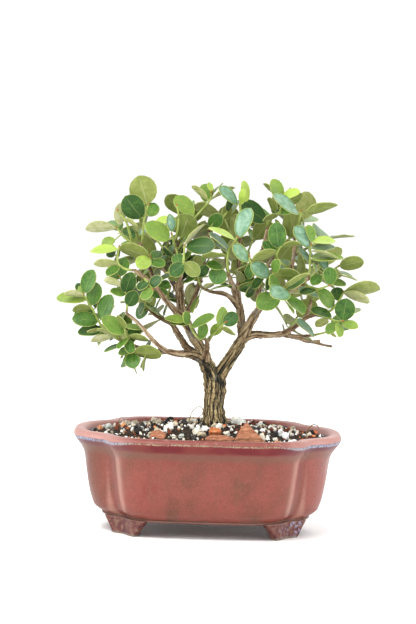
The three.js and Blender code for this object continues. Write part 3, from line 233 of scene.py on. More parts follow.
# Sprays that the front view shows: stems as lists of points, then the leaves as the foot of the blade, its
# tip, the width that shows and its look (a letter of Look)
SHOWN_SPRAYS = {
    "topLeftOuter": ((
        ((-51, -5, 218), (-57, -5, 219.5), (-63, -4, 223), (-68.5, -2, 230)),
        ((-57, -5, 219.5), (-59.5, -8, 229), (-61.5, -9, 235), (-67.5, -10, 243.5)),
    ), (
        (-69, -2, 230, -92, 0, 231, 9, "p"), (-67, -2, 232, -65, 2, 249, 9, "p"),
        (-55, -5, 222, -63, 3, 230, 8, "d"), (-63, -9, 237, -52, -12, 233, 4, "p"),
    )),
    "topLeftUpright": ((
        ((-50, -6, 216.5), (-49, -7, 226), (-48, -6, 237), (-45, 0, 247.5)),
    ), (
        (-50, -6, 238, -62, -10, 254, 18, "d"), (-46, 0, 248, -52, 3, 269, 21, "o"),
        (-50, -7, 225, -46, -4, 232, 6, "b"), (-44, -4, 239, -40, 0, 249, 11, "m"),
    )),
    "frontLeftHigh": ((
        ((-23, 2, 206.5), (-23.5, -10, 213.5), (-25.5, -20, 220.5), (-27, -26, 227)),
    ), (
        (-29, -22, 223, -46, -27, 235, 13, "l"), (-27, -26, 229, -28, -26, 242, 7, "b"),
    )),
    "leftCrown": ((
        ((-25, 0, 219), (-23, -5, 228), (-22, -5, 238.5), (-23.5, -3, 247)),
    ), (
        (-20, -3, 223, -14, -7, 241, 18, "o"), (-24, -5, 236, -38, -8, 239, 5, "y"),
    )),
    "crownLeft": ((
        ((-24.5, 1, 215), (-16, 3, 229), (-9, 4, 238.5), (1, 4, 250), (2.5, 4, 256.5)),
    ), (
        (-11, 4, 239, -24, 7, 254, 12, "l"), (0, 4, 251, -11, 6, 262, 5, "p"),
        (2, 4, 251, 19, 7, 262, 4, "p"),
    )),
    "crownInner": ((
        ((1, 8, 228), (4.5, 6, 233.5), (10.5, 5, 237), (16, 6, 243.5)),
    ), (
        (1, 7, 231, 10, 2, 239, 11, "d"), (12, 5, 236, 16, 11, 246, 8, "o"),
        (16, 6, 243, 16, 3, 251, 6, "d"), (14, 6, 241, 10, 9, 253, 5, "o"),
    )),
    "frontCentreHigh": ((
        ((16, -26, 196), (14.5, -30, 206), (16, -31, 216), (22, -31, 225)),
    ), (
        (23, -31, 225, 30, -33, 247, 12, "b"), (20, -31, 223, 2, -32, 234, 3, "y"),
        (15, -31, 216, 2, -27, 229, 4, "b"), (15, -31, 214, 7, -22, 221, 5, "b"),
        (14, -30, 211, -5, -25, 211, 5, "o"),
    )),
    "frontLeader": ((
        ((-19.5, -32, 199.5), (-18, -30, 209), (-17.5, -27, 218)),
    ), (
        (-16, -27, 218, 6, -31, 216, 13, "d"), (-17, -27, 219, 2, -26, 228, 4, "p"),
        (-18, -31, 205, -29, -35, 197, 11, "d"), (-17, -31, 206, -12, -34, 193, 11, "o"),
    )),
    "crownCentre": ((
        ((23.5, 3, 229.5), (24.5, -3, 238.5), (24.5, -4, 247), (26.5, -3, 253)),
    ), (
        (22, -4, 248, 10, -7, 262, 8, "b"), (25, -4, 248, 27, -7, 260, 5, "y"),
        (27, -3, 250, 24, -1, 267, 7, "y"), (27, -3, 251, 45, 1, 254, 5, "p"),
    )),
    "crownRight": ((
        ((44.5, 10, 228), (46, 8, 235), (52.5, 2, 239.5), (55, 0, 246), (55.5, 0, 253)),
    ), (
        (44, 9, 234, 25, 3, 249, 14, "d"), (52, 3, 239, 41, 0, 237, 5, "o"),
        (55, 2, 240, 65, 5, 247, 8, "m"), (55, 0, 250, 50, -2, 267, 10, "l"),
        (56, 0, 253, 68, -3, 263, 5, "y"), (56, 0, 246, 70, 5, 256, 9, "o"),
    )),
    "highRight": ((
        ((65.5, -11, 224.5), (67.5, -13, 233), (69, -15, 239), (70, -15, 243.5)),
    ), (
        (68, -15, 241, 51, -20, 259, 7, "b"), (72, -15, 241, 96, -17, 251, 8, "o"),
        (65, -11, 226, 60, -8, 234, 5, "m"),
    )),
    "upperRight": ((
        ((75.5, -22, 193.5), (76.5, -22, 202), (76.5, -22, 211), (77, -22, 218.5)),
    ), (
        (76, -22, 217, 66, -26, 233, 10, "b"), (78, -22, 221, 74, -16, 232, 7, "l"),
        (78, -22, 221, 93, -24, 230, 5, "y"), (78, -22, 216, 95, -20, 218, 5, "d"),
        (78, -22, 214, 98, -25, 214, 3, "p"), (78, -22, 208, 101, -17, 215, 7, "l"),
        (75, -22, 206, 70, -18, 216, 5, "b"),
    )),
    "outerRight": ((
        ((74, -21, 192.5), (82.5, -19, 195), (91, -17, 197.5), (98, -14, 202)),
    ), (
        (99, -14, 202, 116, -11, 208, 11, "o"), (89, -17, 199, 89, -20, 211, 7, "b"),
        (82, -19, 198, 72, -25, 202, 6, "m"), (84, -19, 196, 74, -22, 193, 6, "d"),
    )),
    "rightMiddle": ((
        ((69.5, -20, 189), (76.5, -24, 187.5), (82.5, -26, 186), (90.5, -27, 188.5)),
    ), (
        (92, -27, 189, 91, -30, 202, 11, "d"), (81, -26, 185, 69, -30, 184, 4, "d"),
    )),
    "farRight": ((
        ((86.5, -10, 167), (92.5, -13, 168.5), (96.5, -14, 173), (99.5, -14, 177.5), (102, -12, 182)),
    ), (
        (94, -14, 171, 84, -18, 185, 10, "m"), (98, -14, 176, 97, -11, 187, 10, "d"),
        (102, -12, 182, 121, -8, 175, 8, "p"), (103, -12, 183, 129, -3, 186, 11, "o"),
    )),
    "lowRight": ((
        ((81.5, -7, 164.5), (89, -14, 163.5), (95.5, -20, 161.5), (100.5, -22, 161.5)),
    ), (
        (101, -22, 162, 104, -26, 178, 16, "d"), (101, -22, 160, 112, -22, 158, 6, "l"),
        (98, -21, 160, 99, -24, 151, 6, "l"), (95, -20, 160, 90, -26, 155, 7, "m"),
        (93, -17, 164.5, 78, -20, 171, 6, "d"), (90, -16, 162, 82, -13, 157, 7, "o"),
        (100, -21.5, 164, 117, -14, 171, 5, "l"),
    )),
    "rightTwigTip": ((
        ((78, 6, 173.5), (77.5, 6, 177.5), (78, 6, 180.5)),
    ), (
        (76, 6, 179, 54, 11, 184, 6, "p"),
    )),
    "lowRightGreen": ((
        ((78.5, -6, 149), (83.5, -6, 150), (90, -5, 151.5)),
    ), (
        (80, -9, 149, 68, -20, 162, 4, "b"),
    )),
    "farLeft": ((
        (
            (-64.5, -12, 145), (-73, -10, 149.5), (-79, -9, 155), (-83, -8, 161), (-87.5, -8, 170),
            (-93.5, -9, 180),
        ),
    ), (
        (-93, -9, 182, -87, -13, 199, 11, "d"), (-92, -9, 176, -114, -7, 179, 8, "l"),
        (-94, -9, 179, -109, -13, 182, 6, "p"), (-88, -8, 172, -84, -10, 189, 12, "m"),
        (-88, -8, 170, -102, -6, 169, 7, "o"), (-83, -8, 160, -102, -10, 163, 11, "m"),
        (-81, -8, 161, -74, -13, 180, 12, "d"), (-73, -10, 148, -88, -6, 146, 6, "p"),
    )),
    "lowLeftFront": ((
        ((-57, -15, 142.5), (-60, -20, 147), (-62, -24, 152.5), (-62.5, -25, 157.5)),
        ((-57.5, -17, 144), (-57, -19, 140), (-57, -20, 137.5)),
    ), (
        (-63, -24, 152, -78, -27, 165, 11, "m"), (-63, -25, 156, -72, -22, 165, 5, "o"),
        (-62, -25, 157, -50, -27, 169, 5, "l"), (-60, -22, 151, -50, -16, 157, 8, "d"),
        (-60, -21, 149, -44, -23, 151, 6, "o"), (-59, -20, 147, -58, -28, 139, 8, "m"),
        (-58, -18, 145, -49, -16, 141, 7, "d"), (-61, -21, 148, -64, -25, 138, 6, "m"),
        (-57, -20, 137, -56, -23, 127, 12, "d"), (-55, -20, 137, -34, -25, 141, 12, "o"),
    )),
    "leftMiddle": ((
        ((-61, -26, 167.5), (-60.5, -25, 172.5), (-61, -24, 179.5), (-63, -22, 186), (-66, -20, 194.5)),
    ), (
        (-62, -23, 183, -57, -27, 198, 12, "d"), (-62, -23, 182, -72, -25, 185, 5, "m"),
        (-60, -25, 173, -54, -28, 184, 11, "d"), (-66, -20, 195, -62, -22, 209, 10, "d"),
        (-66, -20, 193, -74, -17, 199, 7, "m"), (-64, -21, 188, -77, -16, 193, 6, "p"),
        (-60, -25, 176, -45, -16, 186, 8, "d"),
    )),
    "leftUpper": ((
        ((-54, -34, 200.5), (-61, -30, 201), (-67, -27, 205), (-67.5, -24, 212.5), (-66.5, -22, 217)),
    ), (
        (-67, -23, 215, -88, -22, 216, 5, "y"), (-67, -27, 204, -85, -26, 206, 7, "p"),
        (-67, -28, 203, -75, -30, 198, 6, "m"),
    )),
    "leftInnerFront": ((
        ((-45, -14, 202.5), (-43, -20, 205.5), (-43, -22, 209.5)),
    ), (
        (-44, -22, 209, -65, -23, 219, 11, "o"), (-44, -22, 209, -59, -29, 214, 6, "y"),
        (-44, -16, 204, -58, -12, 203, 6, "o"), (-42, -20, 206, -33, -24, 205, 6, "m"),
        (-42, -21, 208, -34, -17, 213, 7, "d"),
    )),
    "leftArmTip": ((
        ((-48, -32, 195.5), (-45.5, -39, 192.5), (-41, -46, 187.5)),
    ), (
        (-43, -42, 190, -35, -44, 196, 8, "d"), (-42, -45, 188, -48, -48, 181, 7, "m"),
        (-45, -38, 193, -51, -43, 188, 6, "d"),
    )),
    "middleLeftBack": ((
        ((-46.5, 18, 169), (-47.5, 16, 175), (-50.5, 14, 180.5)),
    ), (
        (-48, 16, 174, -43, 13, 180, 8, "m"), (-48, 17, 171, -54, 20, 163, 6, "d"),
        (-47, 17, 171, -39, 15, 166, 5, "p"), (-50, 14, 180, -56, 17, 185, 7, "m"),
    )),
    "leftInside": ((
        ((-27.5, -13, 171.5), (-30.5, 0, 177.5), (-28.5, 6, 184.5)),
    ), (
        (-29, 5, 184, -37, 7, 188, 8, "d"), (-30, 0, 178, -23, 3, 180, 7, "d"),
        (-30, 2, 181, -37, 7, 175, 6, "m"),
    )),
    "spurLeft": ((
        ((-1, -19, 147), (-7, -21, 148.5), (-10.5, -22, 152.5), (-13.5, -23, 158.5), (-15, -24, 163)),
    ), (
        (-16, -24, 161, -32, -23, 165, 5, "l"), (-15, -23, 159, -28, -19, 161, 4, "m"),
        (-14, -24, 160, -17, -29, 168, 6, "m"), (-12, -24, 157, 4, -27, 167, 6, "l"),
        (-6, -21, 148, -2, -24, 159, 8, "m"),
    )),
    "spurRight": ((
        ((-1, -16.5, 143), (3, -20, 150), (7, -22, 154.5), (10, -23, 157.5), (13, -24, 160.5)),
    ), (
        (9, -23, 158, 8, -25, 172, 9, "l"), (12, -24, 159, 21, -19, 166, 11, "d"),
        (10, -23, 156, 21, -24, 153, 5, "o"),
    )),
    "leftForkLeaf": ((
        ((-14.5, 2, 168.5), (-15.5, 8, 170.5), (-16, 12, 173)),
    ), (
        (-16, 11, 172, -10, 14, 187, 7, "p"), (-16, 10, 172, -22, 14, 179, 6, "m"),
    )),
    "centreLeftTip": ((
        ((-4.5, -4, 185), (-7, -7, 190.5), (-7.5, -8, 196.5)),
    ), (
        (-8, -8, 195, 0, -11, 201, 8, "d"), (-8, -8, 197, -11, -11, 206, 7, "o"),
    )),
    "frontCentreLow": ((
        ((18, -14, 190.5), (14.5, -22, 196), (10.5, -25, 201)),
    ), (
        (10, -25, 201, 7, -30, 190, 14, "d"), (12, -24, 199, 2, -21, 193, 9, "d"),
        (16, -18, 193, 24, -22, 203, 9, "o"), (11, -25, 202, 0, -27, 205, 6, "d"),
    )),
    "frontRightHigh": ((
        ((39, -30, 200.5), (35.5, -33, 204), (31.5, -34, 207), (31, -34, 210.5)),
    ), (
        (30, -34, 207, 20, -38, 220, 9, "b"), (33, -34, 207, 50, -36, 217, 8, "o"),
        (33, -34, 205, 29, -29, 194, 7, "d"),
    )),
    "frontRightLow": ((
        ((38.5, -20, 196), (43, -27, 195), (47.5, -31, 196.5), (50.5, -32, 201)),
    ), (
        (46, -30, 196, 32, -36, 205, 11, "b"), (49, -32, 199, 52, -34, 208, 7, "m"),
        (49, -31, 197, 70, -34, 197, 10, "o"), (44, -28, 194, 47, -25, 185, 7, "d"),
        (42, -26, 194, 32, -22, 190, 7, "d"),
    )),
    "innerRightHigh": ((
        ((63, -13, 199), (55, -22, 205), (51.5, -28, 210.5), (53.5, -30, 216.5), (57.5, -30, 221)),
    ), (
        (53, -30, 217, 51, -33, 236, 14, "d"), (56, -30, 218, 68, -31, 222, 5, "o"),
        (51, -28, 212, 42, -24, 222, 8, "d"), (58, -18, 202, 65, -13, 206, 6, "d"),
    )),
}

# Sprays whose leaves stand in crosswise pairs by rule: the shoot's points and the number of pairs
PAIRED_SPRAYS = {
    "backLeftTip": (((-42, 40, 207), (-48, 48, 214), (-52, 54, 221)), 3),
    "backLeftSide": (((-35.5, 29, 199), (-45, 37, 200), (-55, 42, 204)), 2),
    "backLeftLow": (((-27.5, 11, 156), (-38, 23, 163), (-47, 32, 172)), 3),
    "backLeaderTip": (((-13.5, 46, 217.5), (-15, 54, 226), (-18, 59, 235)), 3),
    "backCentreTip": (((14, 46, 200.5), (13, 55, 209), (14, 61, 219)), 3),
    "backRightTip": (((59, 43, 215), (66, 50, 223), (71, 55, 231)), 3),
    "backRightSide": (((53, 34, 208.5), (46, 44, 217), (40, 51, 227)), 2),
    "backRightLow": (((44.5, 20, 199), (57, 30, 199), (67, 38, 202)), 2),
    "rightArmBack": (((60, -16, 183.5), (68, 2, 188), (78, 20, 192), (86, 30, 198)), 4),
    "rightLowBack": (((58.5, 12, 148.5), (66, 25, 157), (73, 35, 166)), 3),
    "centreInside": (((23, 15, 197.5), (29, 24, 207), (34, 30, 218)), 2),
    "centreUpright": (((24.5, 8, 214.5), (18, 20, 224), (13, 29, 234)), 2),
    "leaderInside": (((-23, 2, 206.5), (-32, 14, 212), (-39, 23, 219)), 2),
    "rightHighBack": (((64.5, -12, 209.5), (75, -2, 215), (85, 7, 220)), 2),
    "rightArmFront": (((53, -13, 179), (55, -28, 184), (58, -42, 188)), 3),
}


class Look(Enum):
    """How a leaf shows: tone from dark green to lime, a painted bluish sheen and paleness of its underside.
    """

    DARK = ("d", 0.08, 0.0, 0.3)
    MIDDLE = ("m", 0.33, 0.02, 0.4)
    LIGHT = ("l", 0.58, 0.0, 0.5)
    BLUISH = ("b", 0.22, 0.85, 0.4)
    YOUNG = ("y", 0.97, 0.0, 0.8)
    OLIVE = ("o", 0.25, 0.1, 0.3)
    PALE = ("p", 0.5, 0.1, 0.8)

    def __init__(self, letter: str, tone: float, painted_sheen: float, pale: float) -> None:
        """Keeps the letter of the tables and the three shares."""
        self.letter = letter
        self.tone = tone
        self.painted_sheen = painted_sheen
        self.pale = pale

    @property
    def shows_underside(self) -> bool:
        """True where the viewer sees the lower face."""
        return self in (Look.OLIVE, Look.PALE)


LOOKS = {look.letter: look for look in Look}
PAIR_LOOKS = (Look.DARK, Look.MIDDLE, Look.DARK, Look.LIGHT, Look.BLUISH)
# The small leaves are mostly dark: partly their own deep green, partly painted shade inside the crown
SMALL_LOOKS = (*[Look.DARK] * 4, Look.MIDDLE, Look.MIDDLE, Look.OLIVE, Look.LIGHT)
TIP_LOOKS = (Look.YOUNG, Look.LIGHT, Look.LIGHT)


class Draws:
    """Small seeded generator of draws between 0 and 1, the same as the solids use."""

    WORD = 2**32
    STEP = 0x6D2B79F5

    def __init__(self, seed: int) -> None:
        """Starts at a seed."""
        self.state = seed % self.WORD

    def next(self) -> float:
        """The next draw."""
        self.state = (self.state + self.STEP) % self.WORD
        mixed = (self.state ^ (self.state >> 15)) * (self.state | 1) % self.WORD
        mixed ^= (mixed + (mixed ^ (mixed >> 7)) * (mixed | 61)) % self.WORD
        return (mixed ^ (mixed >> 14)) / self.WORD

    def one_of(self, choices: tuple) -> object:
        """One of some choices."""
        return choices[int(self.next() * len(choices))]

    def offset(self, spread: float = 1.0) -> float:
        """A draw about 0, a spread wide in all."""
        return (self.next() - 0.5) * spread


def unit(vector: np.ndarray) -> np.ndarray:
    """The vector at length 1, or an array of them."""
    return vector / np.linalg.norm(vector, axis=-1, keepdims=True)


def turned(vector: np.ndarray, axis: np.ndarray, degrees: float) -> np.ndarray:
    """A vector turned about an axis of length 1."""
    angle = math.radians(degrees)
    along = axis * np.dot(axis, vector)
    return along + (vector - along) * math.cos(angle) + np.cross(axis, vector) * math.sin(angle)


def leaned(points: np.ndarray) -> np.ndarray:
    """Points of the tree's tables, turned with the whole tree about the foot of the trunk, to the left."""
    points = np.asarray(points, float)
    foot = np.array([TRUNK_X, 0.0, TRUNK_FOOT])
    angle = math.radians(-TREE_LEAN)
    x, y, z = (points - foot).T
    return np.stack([x * math.cos(angle) + z * math.sin(angle), y,
                     z * math.cos(angle) - x * math.sin(angle)], axis=-1) + foot


def gaps(first: np.ndarray, second: np.ndarray) -> np.ndarray:
    """Distances between all points of two lists, one row for each point of the first."""
    return np.linalg.norm(first[:, None, :] - second[None, :, :], axis=2)


class SmoothLine:
    """A smooth line through points, with a radius at each."""

    def __init__(self, places: np.ndarray, radii: np.ndarray) -> None:
        """Keeps the points and measures the line."""
        self.places = np.asarray(places, float)
        self.radii = np.asarray(radii, float)
        chords = np.linalg.norm(np.diff(self.at(np.linspace(0, 1, LINE_POINTS)), axis=0), axis=1)
        self.lengths = np.concatenate([[0.0], np.cumsum(chords)])

    @property
    def length(self) -> float:
        """Length of the line."""
        return float(self.lengths[-1])

    def at(self, shares: np.ndarray) -> np.ndarray:
        """Points of the line, one a row, at shares of its stretches from 0 to 1."""
        last = len(self.places) - 1
        spots = np.clip(np.atleast_1d(np.asarray(shares, float)), 0, 1) * last
        before = np.minimum(np.floor(spots).astype(int), last - 1)
        w = (spots - before)[:, None]
        first = 2 * self.places[0] - self.places[1]
        final = 2 * self.places[-1] - self.places[-2]
        ends = np.vstack([first, self.places, final])
        p0, p1, p2, p3 = (ends[before + step] for step in range(4))
        m1 = (p2 - p0) / 2
        m2 = (p3 - p1) / 2
        bend = 3 * (p2 - p1) - 2 * m1 - m2
        return p1 + w * m1 + w**2 * bend + w**3 * (2 * (p1 - p2) + m1 + m2)

    def ahead(self, shares: np.ndarray) -> np.ndarray:
        """Directions of the line at some shares."""
        shares = np.atleast_1d(np.asarray(shares, float))
        return unit(self.at(np.minimum(shares + 1e-4, 1)) - self.at(np.maximum(shares - 1e-4, 0)))

    def radius_at(self, shares: np.ndarray) -> np.ndarray:
        """Radii at some shares."""
        return np.interp(shares, np.linspace(0, 1, len(self.radii)), self.radii)

    def evenly(self, count: int) -> tuple[np.ndarray, np.ndarray]:
        """The ends of a number of equally long stretches, and the radii there."""
        goals = np.linspace(0, self.length, count + 1)
        shares = np.interp(goals, self.lengths, np.linspace(0, 1, LINE_POINTS))
        return self.at(shares), self.radius_at(shares)

    def beads(self) -> tuple[np.ndarray, np.ndarray]:
        """Points about a bead's step apart, and their radii."""
        shares = np.linspace(0, 1, math.ceil(self.length / BEAD_STEP) + 1)
        return self.at(shares), self.radius_at(shares)


LIMB_LINES = {
    name: SmoothLine(leaned([point[:3] for point in points]), [point[3] for point in points])
    for name, points in LIMBS.items()
}
WOOD_BEADS, WOOD_RADII = (
    np.concatenate(part) for part in zip(*(line.beads() for line in LIMB_LINES.values()))
)


def from_wood(places: np.ndarray) -> np.ndarray:
    """Distances of some places from the limbs' beads, one row a place."""
    return gaps(places, WOOD_BEADS) - WOOD_RADII


def shade(code: str, share: float) -> tuple[float, float, float, float]:
    """A colour of six hex digits as plain light, darkened to a share."""
    parts = [int(code[place:place + 2], 16) / 255 for place in (0, 2, 4)]
    light = (part / 12.92 if part <= 0.04045 else ((part + 0.055) / 1.055) ** 2.4 for part in parts)
    return *(part * share for part in light), 1.0


class Paint:
    """A material that is put together from nodes. Its sizes and heights are in metres."""

    def __init__(self, name: str, roughness: float, specular: float, share: float = LIGHT_SHARE) -> None:
        """Starts a plain material.

        Args:
            name: The material's name.
            roughness: Its even roughness.
            specular: Its even specular level.
            share: How much its colours are darkened to show as written.
        """
        self.share = share
        self.material = bpy.data.materials.new(name)
        self.material.use_nodes = True
        self.tree = self.material.node_tree
        self.skin = self.tree.nodes["Principled BSDF"]
        self.skin.inputs["Roughness"].default_value = roughness
        self.skin.inputs["Specular IOR Level"].default_value = specular
        self.place = self.add("TexCoord").outputs["Object"]

    def add(self, kind: str, inputs: dict | None = None, **settings: object) -> bpy.types.Node:
        """Adds a node.

        Args:
            kind: The node's type.
            inputs: Values or sockets by the name or number of the input.
            settings: Properties of the node.

        Returns:
            The node.
        """
        made = self.tree.nodes.new(f"ShaderNode{kind}")
        for key, value in settings.items():
            setattr(made, key, value)
        for key, value in (inputs or {}).items():
            if isinstance(value, Socket):
                self.tree.links.new(value, made.inputs[key])
            else:
                made.inputs[key].default_value = value
        return made

    def own(self, name: str, output: str = "Fac") -> Socket:
        """The piece's own attribute."""
        return self.add("Attribute", attribute_name=name).outputs[output]

    def axes(self, vector: Socket) -> list[Socket]:
        """The X, Y and Z of a vector."""
        return list(self.add("SeparateXYZ", {"Vector": vector}).outputs)

    def grains(self, size: float, detail: float = 3.0, place: Socket | None = None,
               rough: float = 0.55) -> Socket:
        """Soft noise whose grains are a size across, in metres or in the units of the given place."""
        vector = self.place if place is None else place
        inputs = {"Vector": vector, "Scale": 1 / size, "Detail": detail, "Roughness": rough}
        return self.add("TexNoise", inputs).outputs["Fac"]

    def cells(self, size: float) -> Socket:
        """How far a point is from the middle of its cell, where cells are a size across."""
        return self.add("TexVoronoi", {"Vector": self.place, "Scale": 1 / size}).outputs["Distance"]

    def stretched(self, place: Socket, x: float, y: float, z: float) -> Socket:
        """A place with each axis scaled."""
        return self.add("Mapping", {"Vector": place, "Scale": (x, y, z)}).outputs["Vector"]

    def span(self, value: Socket, low: float, high: float, start: float = 0.0, end: float = 1.0) -> Socket:
        """A value spread from low and high to start and end, with soft ends."""
        inputs = {"Value": value, "From Min": low, "From Max": high, "To Min": start, "To Max": end}
        return self.add("MapRange", inputs, interpolation_type="SMOOTHSTEP").outputs["Result"]

    def band(self, value: Socket, start: float, full: float, fade: float, end: float) -> Socket:
        """1 where a value lies between full and fade, and 0 before the start and after the end."""
        return self.times(self.span(value, start, full), self.span(value, end, fade))

    def sums(self, kind: str, first: object, second: object = 0.0) -> Socket:
        """One sum of two values."""
        return self.add("Math", {0: first, 1: second}, operation=kind).outputs["Value"]

    def times(self, first: object, *others: object) -> Socket:
        """The product of some values."""
        for other in others:
            first = self.sums("MULTIPLY", first, other)
        return first

    def plus(self, first: object, *others: object) -> Socket:
        """The sum of some values."""
        for other in others:
            first = self.sums("ADD", first, other)
        return first

    def minus(self, first: object, second: object) -> Socket:
        """One value less another."""
        return self.sums("SUBTRACT", first, second)

    def plain(self, value: object) -> Socket:
        """A value without its sign."""
        return self.sums("ABSOLUTE", value)

    def uneven(self, size: float, detail: float, most: float) -> Socket:
        """Soft noise about 0, at most half of a value either way."""
        return self.times(self.minus(self.grains(size, detail), 0.5), most)

    def on_blade(self) -> tuple[Socket, Socket]:
        """How far a point of a leaf is from the midrib, as a share of the width, and how far along it."""
        x, y, _ = self.axes(self.add("UVMap", uv_map="blade").outputs["UV"])
        return self.plain(self.minus(x, 0.5)), y

    def ramp(self, amount: Socket, *stops: tuple[float, str]) -> Socket:
        """A colour picked by an amount from stops of place and colour."""
        made = self.add("ValToRGB", {"Fac": amount})
        elements = made.color_ramp.elements
        elements.remove(elements[1])
        elements[0].position = stops[0][0]
        elements[0].color = shade(stops[0][1], self.share)
        for spot, colour in stops[1:]:
            elements.new(spot).color = shade(colour, self.share)
        return made.outputs["Color"]

    def blend(self, amount: Socket, below: Socket | str, above: Socket | str) -> Socket:
        """One colour over another by an amount; a colour is a socket or six hex digits."""
        below, above = (
            shade(colour, self.share) if isinstance(colour, str) else colour for colour in (below, above)
        )
        return self.add("Mix", {0: amount, 6: below, 7: above}, data_type="RGBA").outputs[2]

    def over(self, below: Socket | str, above: Socket | str, value: Socket, low: float, high: float,
             most: float = 1.0) -> Socket:
        """A colour laid over another, more and more from a value's low to its high."""
        return self.blend(self.span(value, low, high, 0, most), below, above)

    def finish(self, colour: Socket, *reliefs: tuple[Socket, float, float],
               roughness: Socket | None = None) -> Finish:
        """Joins the last sockets to the shader.

        Args:
            colour: The base colour.
            reliefs: Heights one over another, each with its depth in metres and its strength.
            roughness: Roughness that varies, if it does.

        Returns:
            The material.
        """
        self.tree.links.new(colour, self.skin.inputs["Base Color"])
        under = {}
        for height, depth, strength in reliefs:
            inputs = {"Height": height, "Distance": depth, "Strength": strength, **under}
            under = {"Normal": self.add("Bump", inputs).outputs["Normal"]}
        self.tree.links.new(under["Normal"], self.skin.inputs["Normal"])
        if roughness is not None:
            self.tree.links.new(roughness, self.skin.inputs["Roughness"])
        return self.material


@dataclass(frozen=True)
class Glaze:
    """Brick-rose glaze that breaks to lavender and cream under the lip."""

    roughness: float = 0.36
    speck: float = 0.0011
    cloud: float = 0.02
    line_height: float = 0.0742
    line_fall: float = 0.0017

    def make(self) -> Finish:
        """The finished material."""
        paint = Paint("glaze", self.roughness, 0.26)
        height = paint.axes(paint.place)[2]
        ends = paint.span(paint.plain(paint.own("aside")), 0.045, 0.08)
        level = paint.plus(height, paint.uneven(0.018, 3, 0.002))
        clouds = paint.grains(self.cloud, 4)
        body = self.wall(paint, clouds, level)
        body = self.lip(paint, body, level, ends)
        body = self.feet(paint, body, level)
        body = paint.over(body, "7b4a40", paint.own("inside"), 0.2, 0.9)
        dull = paint.span(clouds, 0.3, 0.7, self.roughness - 0.07, self.roughness + 0.1)
        waves = (paint.grains(0.008, 3), 0.0006, 0.5)
        specks = (paint.grains(self.speck, 2), 0.00014, 0.5)
        return paint.finish(body, waves, specks, roughness=dull)

    def wall(self, paint: Paint, clouds: Socket, level: Socket) -> Socket:
        """The wall: rose clouds, olive runs, painted light and shade at the lobes and notches, and fine
        specks.
        """
        ridge = paint.own("ridge")
        aside = paint.own("aside")
        body = paint.ramp(clouds, (0.3, "7c4c3b"), (0.42, "924f41"), (0.56, "9f5347"), (0.7, "9a493f"))
        runs = paint.grains(0.006, 3, paint.stretched(paint.place, 1, 1, 0.2))
        body = paint.over(body, "83573f", runs, 0.5, 0.75, 0.4)
        # Painted light: the lobe on the right is painted lighter and pinker as a rim of light, the lobe on
        # the left darker as shade
        body = paint.over(body, "b87a76", aside, 0.066, 0.094, 0.45)
        body = paint.over(body, "74432f", aside, -0.066, -0.09, 0.85)
        # Painted highlight: a pale band beside each notch at the long lobes' corners, where the glaze also
        # runs thin
        thin_glaze_and_highlight = paint.band(ridge, -0.5, -0.05, 0.12, 0.35)
        corners = paint.band(paint.plain(aside), 0.058, 0.061, 0.072, 0.076)
        body = paint.blend(paint.times(thin_glaze_and_highlight, corners, 0.5), body, "d8a593")
        # Painted shade: the hollows of the notches are painted darker
        body = paint.over(body, "7b4238", ridge, -0.3, -0.75, 0.45)
        fine = paint.grains(self.speck, 3, None, 0.7)
        body = paint.over(body, "6f4434", fine, 0.53, 0.68, 0.55)
        body = paint.over(body, "b96c5e", fine, 0.46, 0.34, 0.45)
        pits = paint.span(paint.cells(0.0021), 0.24, 0.12)
        rare = paint.span(paint.grains(0.005, 2), 0.55, 0.68)
        body = paint.blend(paint.times(pits, rare, 0.8), body, "4f3a2e")
        low = paint.band(level, 0.0175, 0.0195, 0.0215, 0.0235)
        return paint.blend(paint.times(low, 0.15), body, "7f4b40")

    def lip(self, paint: Paint, body: Socket, level: Socket, ends: Socket) -> Socket:
        """Oxblood pooled under the lip, the line where the glaze breaks, and the pale rim above it."""
        olive = paint.band(level, 0.0585, 0.0635, 0.0655, 0.0685)
        body = paint.blend(paint.times(olive, 0.5), body, "7f6050")
        clouds = paint.span(paint.grains(0.03, 2), 0.3, 0.55, 0.6, 1.0)
        pool = paint.times(paint.span(level, 0.0655, 0.0685), clouds)
        body = paint.blend(pool, body, paint.blend(ends, "7a1c22", "74424a"))
        patches = paint.grains(0.005, 3)
        rim = paint.over(paint.blend(ends, "9b544b", "c9948a"), "d3a196", patches, 0.5, 0.75, 0.35)
        over = paint.minus(paint.minus(level, self.line_height), paint.times(ends, -self.line_fall))
        body = paint.over(body, rim, over, -0.0003, 0.0005)
        dots = paint.grains(0.0016, 2)
        cream = paint.ramp(dots, (0.4, "6d5a44"), (0.5, "cbbf9c"), (0.6, "8b4a42"))
        lavender = paint.ramp(dots, (0.4, "7d7f9b"), (0.6, "b9bccd"))
        under = paint.plus(over, paint.span(ends, 0.0, 1.0, 0.0011, 0.0023))
        line = paint.times(paint.span(under, -0.0004, 0.0004), paint.span(over, 0.0004, -0.0004))
        broken = paint.span(patches, 0.35, 0.5, 0.45, 0.95)
        return paint.blend(paint.times(line, broken), body, paint.blend(ends, cream, lavender))

    def feet(self, paint: Paint, body: Socket, level: Socket) -> Socket:
        """Mottled dark feet with bare edges, and the thin dull line round the bottom."""
        mottle = paint.grains(0.0035, 4)
        feet = paint.ramp(mottle, (0.34, "52222a"), (0.47, "723a33"), (0.6, "825547"), (0.74, "9a8672"))
        right = paint.span(paint.own("aside"), 0.05, 0.07)
        bluish = paint.times(paint.span(paint.grains(0.0028, 3), 0.5, 0.62, 0, 0.85), right)
        feet = paint.blend(bluish, feet, "a9a6c2")
        feet = paint.over(feet, "8f8272", level, 0.0022, 0.0008, 0.8)
        body = paint.over(body, feet, level, 0.0135, 0.0112)
        bead = paint.band(level, 0.0116, 0.0128, 0.0138, 0.0150)
        return paint.blend(paint.times(bead, 0.6), body, "8b7468")


